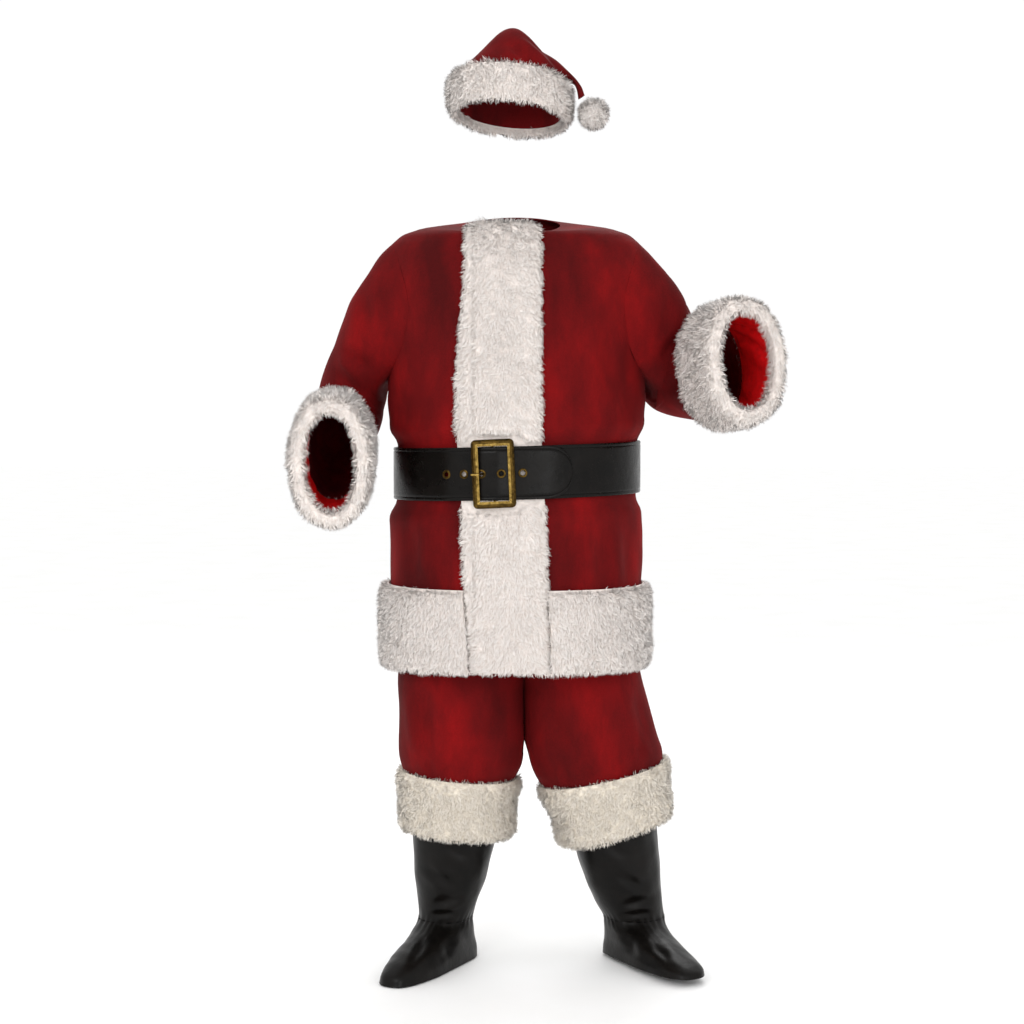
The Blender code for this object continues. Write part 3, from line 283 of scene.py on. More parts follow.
SLEEVE_LEFT = (
    (0.243, 0.000, -0.050, 0.257, 0.000, -0.330, 0.100, 0.100, 0.00),
    (0.266, 0.003, -0.074, 0.2620, 0.003, -0.342, 0.100, 0.100, 0.35),
    (0.295, 0.012, -0.115, 0.2650, 0.010, -0.358, 0.098, 0.100, 0.75),
    (0.326, 0.025, -0.168, 0.2700, 0.020, -0.374, 0.092, 0.100, 1.00),
    (0.354, 0.040, -0.215, 0.2820, 0.015, -0.388, 0.082, 0.100, 1.00),
    (0.378, 0.040, -0.248, 0.2960, -0.012, -0.384, 0.074, 0.100, 1.00),
    (0.400, 0.020, -0.272, 0.3000, -0.042, -0.366, 0.078, 0.100, 1.00),
    (0.420, -0.010, -0.290, 0.3060, -0.072, -0.344, 0.088, 0.100, 1.00),
    (0.442, -0.070, -0.303, 0.3220, -0.124, -0.315, 0.098, 0.100, 1.00),
    (0.464, -0.130, -0.303, 0.3440, -0.180, -0.305, 0.100, 0.100, 1.00),
    (0.493, -0.208, -0.296, 0.3710, -0.264, -0.296, 0.101, 0.101, 1.00),
)

# The hat's crown, folded over to the left: x, z on the upper edge of each ring, x, z on its lower
# edge, the y of its middle, half its thickness from front to back, and what raises its front.
HAT_CROWN = (
    (-0.1130, 0.2080, 0.0880, 0.1880, -0.0200, 0.1020, 0.17),
    (-0.1130, 0.2350, 0.0885, 0.2150, -0.0200, 0.1020, 0.17),
    (-0.1110, 0.2620, 0.0895, 0.2400, -0.0200, 0.1000, 0.17),
    (-0.0980, 0.2860, 0.0910, 0.2480, -0.0200, 0.0950, 0.16),
    (-0.0640, 0.3190, 0.0930, 0.2510, -0.0210, 0.0860, 0.12),
    (-0.0320, 0.3500, 0.0950, 0.2520, -0.0220, 0.0720, 0.05),
    (-0.0060, 0.3600, 0.0970, 0.2520, -0.0240, 0.0600, 0.00),
    (0.0160, 0.3500, 0.0995, 0.2520, -0.0260, 0.0500, 0.00),
    (0.0440, 0.3200, 0.1030, 0.2515, -0.0290, 0.0400, 0.00),
    (0.0795, 0.2940, 0.1080, 0.2510, -0.0330, 0.0290, 0.00),
    (0.1085, 0.2690, 0.1150, 0.2475, -0.0380, 0.0190, 0.00),
    (0.1270, 0.2460, 0.1195, 0.2360, -0.0420, 0.0110, 0.00),
    (0.1345, 0.2270, 0.1220, 0.2190, -0.0440, 0.0080, 0.00),
)
HAT_BAND = (
    (-0.270, -0.0120, -0.020, 0.1040, 0.104, 0.104, 2.05, -5.5, 0, -0.040),
    (-0.150, -0.0120, -0.020, 0.1050, 0.105, 0.105, 2.05, -5.5, 0, -0.040),
)

# Where the placket's two edges run, as "drop", right edge and left edge.
PLACKET_EDGES = (
    (0.030, -0.098, 0.046),
    (0.150, -0.098, 0.047),
    (0.230, -0.106, 0.047),
    (0.420, -0.113, 0.047),
    (0.560, -0.104, 0.054),
    (0.680, -0.100, 0.057),
    (0.900, -0.088, 0.066),
)

# Soft creases in the cloth: x, z of both ends, half the width, how deep the crease is (a ridge
# where it is negative) and the side of the garment that it is on, -1 for the front.
JACKET_CREASES = (
    (-0.150, -0.150, -0.158, -0.360, 0.020, 0.0040, -1),
    (-0.205, -0.230, -0.190, -0.440, 0.022, 0.0050, -1),
    (-0.235, -0.330, -0.200, -0.445, 0.014, 0.0040, -1),
    (0.115, -0.140, 0.125, -0.330, 0.022, 0.0035, -1),
    (0.165, -0.180, 0.205, -0.430, 0.020, 0.0055, -1),
    (0.225, -0.230, 0.215, -0.445, 0.016, 0.0060, -1),
    (0.080, -0.330, 0.190, -0.440, 0.022, 0.0030, -1),
    (-0.205, -0.590, -0.195, -0.760, 0.016, 0.0045, -1),
    (-0.150, -0.600, -0.140, -0.770, 0.018, 0.0035, -1),
    (0.110, -0.590, 0.100, -0.760, 0.017, 0.0035, -1),
    (0.165, -0.585, 0.175, -0.770, 0.016, 0.0050, -1),
    (0.215, -0.585, 0.222, -0.760, 0.014, 0.0045, -1),
    (-0.120, -0.130, -0.100, -0.430, 0.022, 0.0050, 1),
    (0.120, -0.130, 0.105, -0.430, 0.022, 0.0050, 1),
    (0.000, -0.300, 0.000, -0.450, 0.020, 0.0040, 1),
    (-0.160, -0.590, -0.150, -0.800, 0.018, 0.0060, 1),
    (-0.060, -0.590, -0.055, -0.820, 0.018, 0.0060, 1),
    (0.040, -0.590, 0.045, -0.820, 0.018, 0.0060, 1),
    (0.145, -0.590, 0.150, -0.800, 0.018, 0.0060, 1),
)
SLEEVE_CREASES = (
    (-0.352, -0.262, -0.275, -0.315, 0.010, 0.0060, -1),
    (-0.372, -0.300, -0.290, -0.372, 0.011, 0.0070, -1),
    (-0.395, -0.345, -0.305, -0.400, 0.010, 0.0050, -1),
    (-0.300, -0.140, -0.285, -0.270, 0.014, 0.0040, -1),
    (-0.370, -0.300, -0.290, -0.380, 0.012, 0.0060, 1),
    (-0.330, -0.200, -0.280, -0.330, 0.014, 0.0050, 1),
    (0.279, -0.292, 0.332, -0.235, 0.010, 0.0070, -1),
    (0.290, -0.352, 0.372, -0.300, 0.011, 0.0070, -1),
    (0.300, -0.150, 0.292, -0.270, 0.013, 0.0045, -1),
    (0.330, -0.340, 0.400, -0.335, 0.009, 0.0045, -1),
    (0.375, -0.300, 0.290, -0.360, 0.012, 0.0060, 1),
)
TROUSER_CREASES = (
    (-0.212, -0.930, -0.196, -1.085, 0.014, -0.0050, -1),
    (-0.180, -0.920, -0.168, -1.080, 0.014, 0.0045, -1),
    (-0.010, -0.945, -0.090, -1.085, 0.018, 0.0055, -1),
    (-0.060, -0.930, -0.120, -1.040, 0.020, 0.0040, -1),
    (0.046, -0.945, 0.120, -1.080, 0.018, 0.0055, -1),
    (0.110, -0.930, 0.170, -1.060, 0.020, 0.0040, -1),
    (0.235, -0.930, 0.262, -1.060, 0.013, 0.0045, -1),
    (-0.175, -1.072, -0.165, -1.112, 0.007, 0.0040, -1),
    (-0.135, -1.080, -0.130, -1.122, 0.008, 0.0045, -1),
    (-0.090, -1.084, -0.092, -1.124, 0.007, 0.0040, -1),
    (-0.050, -1.078, -0.056, -1.118, 0.008, 0.0040, -1),
    (0.090, -1.090, 0.110, -1.128, 0.008, 0.0045, -1),
    (0.140, -1.082, 0.155, -1.120, 0.007, 0.0040, -1),
    (0.190, -1.066, 0.205, -1.104, 0.008, 0.0045, -1),
    (0.240, -1.044, 0.252, -1.082, 0.007, 0.0040, -1),
    (-0.150, -0.940, -0.120, -1.080, 0.020, 0.0060, 1),
    (-0.060, -0.940, -0.090, -1.080, 0.020, 0.0060, 1),
    (0.080, -0.940, 0.120, -1.080, 0.020, 0.0060, 1),
    (0.180, -0.930, 0.210, -1.060, 0.020, 0.0060, 1),
)
BOOT_CREASES = (
    (-0.185, -1.300, -0.120, -1.345, 0.009, 0.0030, -1),
    (-0.170, -1.380, -0.100, -1.362, 0.008, 0.0032, -1),
    (-0.180, -1.404, -0.110, -1.398, 0.006, 0.0028, -1),
    (-0.150, -1.250, -0.080, -1.290, 0.010, 0.0028, -1),
    (0.190, -1.310, 0.262, -1.350, 0.009, 0.0030, -1),
    (0.205, -1.385, 0.285, -1.368, 0.008, 0.0032, -1),
    (0.200, -1.404, 0.280, -1.400, 0.006, 0.0028, -1),
    (0.160, -1.240, 0.230, -1.285, 0.010, 0.0028, -1),
    (-0.175, -1.440, -0.215, -1.470, 0.008, 0.0025, -1),
    (-0.130, -1.440, -0.140, -1.480, 0.009, 0.0025, -1),
    (0.262, -1.440, 0.310, -1.470, 0.008, 0.0025, -1),
    (0.226, -1.440, 0.235, -1.480, 0.009, 0.0025, -1),
)
HAT_CREASES = (
    (-0.020, 0.330, 0.060, 0.250, 0.009, 0.0060, -1),
    (0.010, 0.345, 0.100, 0.262, 0.006, 0.0040, -1),
    (-0.070, 0.290, 0.000, 0.236, 0.011, 0.0040, -1),
    (-0.020, 0.330, 0.060, 0.250, 0.010, 0.0060, 1),
    (-0.070, 0.300, 0.030, 0.240, 0.012, 0.0050, 1),
)


def table_row(table, position):
    """The smooth in-between rows of a table, whose first column is the position."""
    rows = np.asarray(table, float)
    keys = rows[:, 0]
    slopes = np.gradient(rows, keys, axis=0)
    at = np.clip(position, keys[0] - 0.05, keys[-1] + 0.05)
    low = np.clip(np.searchsorted(keys, at, side="right") - 1, 0, len(keys) - 2)
    span = keys[low + 1] - keys[low]
    part = (at - keys[low]) / span
    inside = np.clip(part, 0.0, 1.0)[..., None]
    square, cube = inside**2, inside**3
    value = (2 * cube - 3 * square + 1) * rows[low]
    value = value + (cube - 2 * square + inside) * span[..., None] * slopes[low]
    value = value + (3 * square - 2 * cube) * rows[low + 1]
    value = value + (cube - square) * span[..., None] * slopes[low + 1]
    past = (part[..., None] - inside) * span[..., None]
    return value + past * np.where(part[..., None] < 0.5, slopes[low], slopes[low + 1])


def smooth_step(start, end, value):
    part = np.clip((np.asarray(value, float) - start) / (end - start), 0.0, 1.0)
    return part * part * (3 - 2 * part)


def bent(value, square):
    """The sine or cosine of a ring whose squareness is given."""
    return np.sign(value) * np.abs(value) ** (2.0 / square)


def ring_surface(table, side=1):
    """The surface through a table of rings, as a function of drop and angle from the front."""

    def surface(drop, angle):
        drop, angle = np.broadcast_arrays(np.asarray(drop, float), np.asarray(angle, float))
        row = table_row(table, drop)

        def column(name):
            return row[..., COLUMN[name]]

        sine = bent(np.sin(angle), column("square"))
        cosine = bent(np.cos(angle), column("square"))
        across = column("half") * sine
        depth = -np.where(cosine > 0, column("front"), column("back")) * cosine
        tilt, turn = np.radians(column("tilt")), np.radians(column("turn"))
        rise = across * np.sin(tilt) - column("dip") * (1 + np.cos(angle)) / 2
        across = across * np.cos(tilt)
        outwards = column("x") + across * np.cos(turn) - depth * np.sin(turn)
        forwards = column("y") + across * np.sin(turn) + depth * np.cos(turn)
        return np.stack([side * outwards, forwards, rise - column("drop")], axis=-1)

    return surface


def lifted(surface, along, around, out, flip=1, step=2e-4):
    """Points of a surface moved out from it along its own normal."""
    along, around, out = np.broadcast_arrays(
        np.asarray(along, float), np.asarray(around, float), np.asarray(out, float)
    )
    down = surface(along + step, around) - surface(along - step, around)
    across = surface(along, around + step * 4) - surface(along, around - step * 4)
    normal = np.cross(down, across) * flip
    normal /= np.maximum(np.linalg.norm(normal, axis=-1, keepdims=True), 1e-12)
    return surface(along, around) + normal * out[..., None]


def turned_out(surface, along, around, middle):
    """1 or -1, so that the surface's normal points away from a middle point."""
    here = surface(np.float64(along), np.float64(around))
    there = lifted(surface, along, around, 0.01)
    return 1 if np.dot(there - here, here - np.asarray(middle)) > 0 else -1


def linear(colour):
    """An sRGB hex colour as the linear red, green, blue and alpha that a shader takes."""
    parts = [int(colour[place : place + 2], 16) / 255 for place in (1, 3, 5)]
    parts = [p / 12.92 if p <= 0.04045 else ((p + 0.055) / 1.055) ** 2.4 for p in parts]
    return (*parts, 1.0)


class Finish:
    """A material in the making: a Principled shader, and the nodes that the finishes share."""

    def __init__(self, name):
        self.material = bpy.data.materials.new(name)
        self.material.use_nodes = True
        self.tree = self.material.node_tree
        self.tree.nodes.clear()
        self.shader = self.node("BsdfPrincipled")
        self.node("OutputMaterial", {"Surface": self.shader.outputs["BSDF"]})

    def node(self, kind, links=None, values=None, **settings):
        """One node: what is linked into its sockets, the values of the others, its settings."""
        node = self.tree.nodes.new("ShaderNode" + kind)
        for name, setting in settings.items():
            setattr(node, name, setting)
        for socket, value in (values or {}).items():
            node.inputs[socket].default_value = value
        for socket, source in (links or {}).items():
            self.tree.links.new(source, node.inputs[socket])
        return node

    def place(self):
        return self.node("TexCoord").outputs["Object"]

    def noise(self, place, size, detail, roughness=0.5):
        """Mottle whose patches are about one size across, in metres."""
        values = {"Scale": 1 / size, "Detail": detail, "Roughness": roughness}
        return self.node("TexNoise", {"Vector": place}, values).outputs["Fac"]

    def threads(self, place, spacing, distortion, detail, direction):
        """Parallel threads or ribs at one spacing, in metres."""
        values = {"Scale": 0.05 / spacing, "Distortion": distortion, "Detail": detail}
        wave = self.node("TexWave", {"Vector": place}, values, bands_direction=direction)
        return wave.outputs["Fac"]

    def ramp(self, source, *stops):
        """A ramp through (place, colour) stops."""
        ramp = self.node("ValToRGB", {"Fac": source})
        elements = ramp.color_ramp.elements
        while len(elements) < len(stops):
            elements.new(0.5)
        for element, (place, colour) in zip(elements, stops):
            element.position = place
            element.color = colour
        return ramp.outputs["Color"]

    def tinted(self, colour, tint, share):
        links, values = {6: colour, 7: tint}, {0: share}
        mix = self.node("Mix", links, values, data_type="RGBA", blend_type="MULTIPLY")
        return mix.outputs[2]

    def mapped(self, source, low, high):
        """The middle of a mottle's range, as a range of another value."""
        values = {"From Min": 0.3, "From Max": 0.7, "To Min": low, "To Max": high}
        return self.node("MapRange", {"Value": source}, values).outputs["Result"]

    def bump(self, height, strength, distance, **links):
        values = {"Strength": strength, "Distance": distance}
        return self.node("Bump", {"Height": height, **links}, values).outputs["Normal"]

    def made(self, links, values):
        """The material, once the shader's inputs are linked and set."""
        for socket, source in links.items():
            self.tree.links.new(source, self.shader.inputs[socket])
        for socket, value in values.items():
            self.shader.inputs[socket].default_value = value
        return self.material


def velvet_material(name, colours):
    """Woven polyester velvet brushed by wear: soft crimson patches of painted light and shade,
    lighter at grazing.
    """
    cloth = Finish(name)
    place = cloth.place()
    # Patches of painted light and shade for the nap lying one way or the other, about 90 mm across
    # and longer downwards.
    stretched = cloth.node("Mapping", {"Vector": place}, {"Scale": (1.0, 1.0, 0.45)})
    patches = cloth.noise(stretched.outputs["Vector"], 0.090, 4.0, 0.55)
    stops = (0.30, colours.velvet_shade), (0.52, colours.velvet), (0.72, colours.velvet_light)
    nap = cloth.ramp(patches, *stops)
    # The pile's tips: 1 mm in the cloth, drawn 3 mm apart so that they show.
    tips = cloth.noise(place, 0.003, 3.0, 0.7)
    # Darker where the bump is low: painted shade between the pile's tips.
    pile_tip_shading = cloth.ramp(tips, (0.25, linear("#bcbcbc")), (0.75, linear("#ffffff")))
    return cloth.made(
        {"Base Color": cloth.tinted(nap, pile_tip_shading, 0.55), "Normal": cloth.bump(tips, 0.22, 0.0012)},
        {
            "Roughness": 0.88,
            "Specular IOR Level": 0.12,
            "Sheen Weight": 0.13,
            "Sheen Roughness": 0.38,
            "Sheen Tint": colours.velvet_sheen,
        },
    )


def satin_material(name, colours):
    """Polyester satin: a smooth bright red with a soft broad gloss along its fine weave."""
    cloth = Finish(name)
    place = cloth.place()
    # The red darkens in soft patches where the lining would fold: painted shade.
    painted_fold_shade = cloth.noise(place, 0.012, 3.0, 0.5)
    # Threads 0.2 mm apart are too fine to show, so the weave is drawn at 1.5 mm.
    weave = cloth.threads(place, 0.0015, 2.0, 1.0, "DIAGONAL")
    return cloth.made(
        {
            "Base Color": cloth.ramp(painted_fold_shade, (0.3, colours.satin_shade), (0.7, colours.satin)),
            "Normal": cloth.bump(weave, 0.10, 0.0004),
        },
        {"Roughness": 0.36, "Sheen Weight": 0.2, "Sheen Tint": colours.satin},
    )


def elastic_material(name, colours):
    """Cased elastic: red polyester gathered into fine upright ribs, with painted shade in the
    hollows between them.
    """
    cloth = Finish(name)
    ribs = cloth.threads(cloth.place(), 0.004, 3.0, 2.0, "X")
    # The ribs' hollows take the velvet's shade colour: painted shade between the ribs.
    return cloth.made(
        {
            "Base Color": cloth.ramp(ribs, (0.2, colours.velvet_shade), (0.8, colours.velvet)),
            "Normal": cloth.bump(ribs, 0.4, 0.001),
        },
        {"Roughness": 0.85},
    )


def pile_material(name, colours, dye):
    """Acrylic plush: each hair is painted darker at its root and lighter at its tip, for painted
    shade deep in the pile and painted light at the tips, and hairs differ a little.
    """
    fur = Finish(name)
    lock = fur.node("UVMap", uv_map="lock").outputs["UV"]
    parts = fur.node("SeparateXYZ", {"Vector": lock})
    root, body, tip = (getattr(colours, f"{dye}_{part}") for part in ("root", "body", "tip"))
    # Along each hair: painted shade at the root, painted light at the tip.
    length = fur.ramp(parts.outputs["Y"], (0.0, root), (0.45, body), (1.0, tip))
    stops = (0.0, linear("#f0edea")), (1.0, linear("#ffffff"))
    differs = fur.ramp(parts.outputs["X"], *stops)
    return fur.made(
        {"Base Color": fur.tinted(length, differs, 1.0)},
        {
            "Roughness": 0.75,
            "Specular IOR Level": 0.25,
            "Sheen Weight": 0.25,
            "Sheen Roughness": 0.5,
        },
    )


def underfur_material(name, colours, dye):
    """The dense under-pile of the plush, seen only between the longer locks. It takes the hairs'
    darker root colour in its tufts' hollows: painted shade under the pile.
    """
    fur = Finish(name)
    root, body = getattr(colours, f"{dye}_root"), getattr(colours, f"{dye}_body")
    tufts = fur.noise(fur.place(), 0.006, 4.0, 0.6)
    return fur.made(
        {
            "Base Color": fur.ramp(tufts, (0.3, root), (0.65, body)),
            "Normal": fur.bump(tufts, 0.6, 0.003),
        },
        {"Roughness": 0.9, "Specular IOR Level": 0.15},
    )


def vinyl_material(name, colours, roughness, gloss, grain_size):
    """Leathercloth: calendered PVC with a pressed grain, half gloss, rubbed duller in patches."""
    vinyl = Finish(name)
    place = vinyl.place()
    cells, size = {"Vector": place}, {"Scale": 1 / grain_size}
    grain = vinyl.node("TexVoronoi", cells, size, feature="DISTANCE_TO_EDGE")
    soft = vinyl.noise(place, 0.035, 4.0, 0.55)
    pressed = vinyl.bump(grain.outputs["Distance"], 0.16, 0.0008)
    return vinyl.made(
        {
            "Base Color": vinyl.ramp(soft, (0.3, colours.vinyl_shade), (0.7, colours.vinyl)),
            "Roughness": vinyl.mapped(soft, roughness - 0.06, roughness + 0.08),
            "Normal": vinyl.bump(soft, 0.30, 0.004, Normal=pressed),
        },
        {"Specular IOR Level": gloss},
    )


def brass_material(name, colours, dark, bright, roughness):
    """Antique-plated brass: brown lacquer in the hollows, rubbed through to yellow metal."""
    metal = Finish(name)
    patina = metal.noise(metal.place(), 0.007, 5.0, 0.65)
    stops = (0.32, getattr(colours, dark)), (0.68, getattr(colours, bright))
    return metal.made(
        {
            "Base Color": metal.ramp(patina, *stops),
            "Roughness": metal.mapped(patina, roughness + 0.12, roughness),
            "Normal": metal.bump(patina, 0.12, 0.0006),
        },
        {"Metallic": 1.0},
    )


def floor_material(name, colours):
    """Matt studio floor: a pale rolled paper with the faintest mottle."""
    paper = Finish(name)
    mottle = paper.noise(paper.place(), 0.25, 3.0)
    return paper.made(
        {"Base Color": paper.ramp(mottle, (0.3, colours.floor_shade), (0.7, colours.floor))},
        {"Roughness": 0.85, "Specular IOR Level": 0.2},
    )


FINISHES = {
    "woven_velvet_red": (velvet_material,),
    "woven_satin_red": (satin_material,),
    "gathered_elastic_red": (elastic_material,),
    "acrylic_plush_white": (pile_material, "white"),
    "acrylic_underpile_white": (underfur_material, "white"),
    "acrylic_plush_cream": (pile_material, "cream"),
    "acrylic_underpile_cream": (underfur_material, "cream"),
    "calendered_vinyl_belt": (vinyl_material, 0.27, 0.13, 0.0022),
    "calendered_vinyl_boot": (vinyl_material, 0.34, 0.14, 0.0028),
    "antique_brass": (brass_material, "brass_dark", "brass", 0.30),
    "rubbed_brass": (brass_material, "brass", "brass_bright", 0.22),
    "rolled_paper_pale": (floor_material,),
}


def finish(name):
    """The suit's material of that name, made the first time that it is asked for."""
    make, *values = FINISHES[name]
    return bpy.data.materials.get(name) or make(name, bpy.context.scene.suit_colours, *values)


def soft_waves(points, size, height):
    """Slow unevenness of slack cloth: crossed waves of about one size."""
    x, y, z = points[..., 0] / size, points[..., 1] / size, points[..., 2] / size
    broad = np.sin(x * 2.1 + z * 0.7 + 0.4) * np.sin(z * 1.3 - x * 0.6 + y * 1.1 + 1.3)
    small = np.sin(x * 3.7 + y * 2.9 - z * 0.8 + 2.2) * np.sin(z * 2.3 + y * 1.7)
    return height * (0.7 * broad + 0.3 * small)


def crease_relief(points, creases):
    """How far the cloth moves out at each point: in along a crease, out on either side of it."""
    relief = np.zeros(points.shape[:-1])
    for x_1, z_1, x_2, z_2, width, depth, face in creases:
        way = np.array([x_2 - x_1, z_2 - z_1])
        offset = points[..., (0, 2)] - (x_1, z_1)
        share = np.clip(offset @ way / (way @ way), 0.0, 1.0)
        away = np.linalg.norm(offset - share[..., None] * way, axis=-1) / width
        taper = smooth_step(0.0, 0.35, share) * (1 - smooth_step(0.6, 1.0, share))
        valley = np.exp(-(away**2)) - 0.5 * np.exp(-((away - 1.9) ** 2))
        relief -= depth * taper * valley * smooth_step(-0.05, 0.02, points[..., 1] * face)
    return relief


def add_mesh(name, points, faces, *materials):
    """One object from points and faces, turned so that its faces look outwards."""
    mesh = bpy.data.meshes.new(name)
    mesh.from_pydata([tuple(point) for point in np.asarray(points).reshape(-1, 3)], [], faces)
    shaped = bmesh.new()
    shaped.from_mesh(mesh)
    bmesh.ops.recalc_face_normals(shaped, faces=shaped.faces)
    if shaped.calc_volume(signed=True) < 0:
        bmesh.ops.reverse_faces(shaped, faces=shaped.faces)
    shaped.to_mesh(mesh)
    shaped.free()
    for material in materials:
        mesh.materials.append(material)
    piece = bpy.data.objects.new(name, mesh)
    bpy.context.scene.collection.objects.link(piece)
    return piece


def shell(name, outer, inner, material, closed=False):
    """A thin sheet between two grids of points. A closed one runs round in its columns."""
    rows, columns = outer.shape[:2]
    spans = columns if closed else columns - 1
    inside = rows * columns

    def at(row, column, layer=0):
        return layer * inside + row * columns + column % columns

    faces = []
    for row in range(rows - 1):
        for column in range(spans):
            corners = ((row, column), (row, column + 1), (row + 1, column + 1), (row + 1, column))
            faces.append(tuple(at(*corner) for corner in corners))
            faces.append(tuple(at(*corner, 1) for corner in reversed(corners)))
    for column in range(spans):
        for row in (0, rows - 1):
            corners = ((row, column, 1), (row, column + 1, 1), (row, column + 1), (row, column))
            faces.append(tuple(at(*corner) for corner in corners))
    if not closed:
        for row in range(rows - 1):
            for column in (0, columns - 1):
                corners = ((row, column, 1), (row + 1, column, 1), (row + 1, column), (row, column))
                faces.append(tuple(at(*corner) for corner in corners))
    points = np.concatenate([outer.reshape(-1, 3), inner.reshape(-1, 3)])
    return add_mesh(name, points, faces, material)


def sweep(name, sections, material, closed=False):
    """A solid through a row of closed outlines, capped at both ends or closed into a ring."""
    count, size = sections.shape[:2]
    faces = []
    for number in range(count if closed else count - 1):
        here, there = number * size, ((number + 1) % count) * size
        for place in range(size):
            following = (place + 1) % size
            faces.append((here + place, here + following, there + following, there + place))
    if not closed:
        faces.append(tuple(reversed(range(size))))
        faces.append(tuple(range((count - 1) * size, count * size)))
    return add_mesh(name, sections, faces, material)


def settle(piece, slot, *nodes):
    """The piece rides with the suit, stands for its CAD solids and is shaded smooth."""
    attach(piece, "root")
    if nodes:
        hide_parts(*nodes)
    bpy.ops.object.select_all(action="DESELECT")
    piece.select_set(True)
    bpy.context.view_layer.objects.active = piece
    bpy.ops.object.shade_smooth_by_angle(angle=math.radians(50))
    return piece


def rounded(outline):
    """A closed outline drawn through its points as one smooth curve."""
    corners = np.asarray(outline, float)
    before, after = np.roll(corners, 1, axis=0), np.roll(corners, -1, axis=0)
    beyond = np.roll(corners, -2, axis=0)
    curve = []
    for share in np.arange(CURVE_POINTS) / CURVE_POINTS:
        square, cube = share**2, share**3
        curve.append(
            0.5
            * (
                2 * corners
                + (after - before) * share
                + (2 * before - 5 * corners + 4 * after - beyond) * square
                + (3 * corners - before - 3 * after + beyond) * cube
            )
        )
    return np.stack(curve, axis=1).reshape(-1, corners.shape[1])


def unit(vectors):
    return vectors / np.maximum(np.linalg.norm(vectors, axis=-1, keepdims=True), 1e-12)


def drawn_to_locks(roots, tips, locks, pull):
    """The tips drawn together into locks: each leans towards the tip of its nearest lock's hair."""
    tree = kdtree.KDTree(len(locks))
    for number, place in enumerate(locks):
        tree.insert(roots[place], number)
    tree.balance()
    nearest = np.array([locks[tree.find(root)[1]] for root in roots])
    return tips * (1 - pull[:, None]) + tips[nearest] * pull[:, None]


def numbers_of(items, field, kind=float):
    """One field of three numbers, of all the items of a mesh."""
    values = np.empty(len(items) * 3, kind)
    items.foreach_get(field, values)
    return values.reshape(-1, 3)


def grow_pile(name, skin, bearing, material, count, length, lay, seed, reach=None):
    """Plush on a skin: bent tapered hairs gathered in locks, each a flat strip with two sides.

    "bearing" marks the skin's points that carry pile, "lay" is the way that it is brushed, and
    "reach" gives a share of the length at each point.
    """
    random = np.random.default_rng(seed)
    mesh = skin.data
    mesh.calc_loop_triangles()
    corners = numbers_of(mesh.loop_triangles, "vertices", np.int32)
    corners = corners[bearing[corners].all(axis=1)]
    points, normals = numbers_of(mesh.vertices, "co"), numbers_of(mesh.vertices, "normal")
    sides = points[corners[:, 1:]] - points[corners[:, :1]]
    areas = np.linalg.norm(np.cross(sides[:, 0], sides[:, 1]), axis=-1)
    chosen = corners[random.choice(len(corners), count, p=areas / areas.sum())]
    first, second = np.sqrt(random.random(count)), random.random(count)
    weights = np.stack([1 - first, first * (1 - second), first * second], axis=-1)[..., None]
    roots = (points[chosen] * weights).sum(axis=1)
    out = unit((normals[chosen] * weights).sum(axis=1))
    brushed = np.asarray(lay(roots) if callable(lay) else np.broadcast_to(lay, roots.shape))
    brushed = brushed - out * (brushed * out).sum(axis=-1, keepdims=True)
    long = length * (0.62 + 0.50 * random.random(count))
    if reach is not None:
        long = long * reach(roots)
    stray = random.normal(size=roots.shape) * HAIR_STRAY
    rising = unit(out + brushed * 0.9 + stray)
    tips = roots + unit(out * 0.50 + brushed * 1.6 + stray * 1.5) * long[:, None]
    locks = random.choice(count, max(count // LOCK_HAIRS, 1), replace=False)
    pull = LOCK_PULL * np.clip(random.normal(0.9, 0.25, count), 0, 1)
    tips = drawn_to_locks(roots, tips, locks, pull)
    bends = roots + rising * long[:, None] * 0.5
    roots = roots - out * ROOT_DEPTH
    width = HAIR_WIDTH * (0.7 + 0.6 * random.random(count))
    width = width * np.clip(long / length * 1.3, 0.5, 1.0)
    # Each hair's flat side faces out, as far as the way that it leans lets it.
    across = unit(np.cross(tips - roots, out + random.normal(size=roots.shape) * 0.12))
    facing = unit(np.cross(across, tips - roots))
    elbows = roots * 0.25 + bends * 0.5 + tips * 0.25
    half = across * (width / 2)[:, None]
    side = np.stack([roots - half, roots + half, elbows - half, elbows + half, tips], axis=1)
    hairs = np.concatenate([side, side - facing[:, None] * HAIR_THICKNESS], axis=1)
    faces = np.arange(count)[:, None, None] * len(HAIR_SHARES) + np.array(HAIR_FACES)
    faces = faces.reshape(-1, 3)
    built = bpy.data.meshes.new(name)
    built.vertices.add(count * len(HAIR_SHARES))
    built.vertices.foreach_set("co", hairs.astype(np.float32).ravel())
    built.loops.add(len(faces) * 3)
    built.loops.foreach_set("vertex_index", faces.astype(np.int32).ravel())
    built.polygons.add(len(faces))
    built.polygons.foreach_set("loop_start", np.arange(len(faces), dtype=np.int32) * 3)
    built.polygons.foreach_set("use_smooth", np.ones(len(faces), bool))
    built.update(calc_edges=True)
    # Each hair carries its own shade and the share of its length, for the material.
    shade = np.repeat(random.random(count), len(HAIR_SHARES))
    lock = np.stack([shade, np.tile(HAIR_SHARES, count)], axis=-1)[faces.ravel()]
    built.uv_layers.new(name="lock").data.foreach_set("uv", lock.astype(np.float32).ravel())
    # Hairs are lit as the fluffy surface that they make together.
    turned = unit(out + facing * 0.18 + random.normal(size=out.shape) * 0.05)
    turned = np.repeat(turned, len(HAIR_SHARES), axis=0)
    built.normals_split_custom_set_from_vertices(turned.tolist())
    built.materials.append(material)
    pile = bpy.data.objects.new(name, built)
    bpy.context.scene.collection.objects.link(pile)
    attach(pile, "root")
    return pile


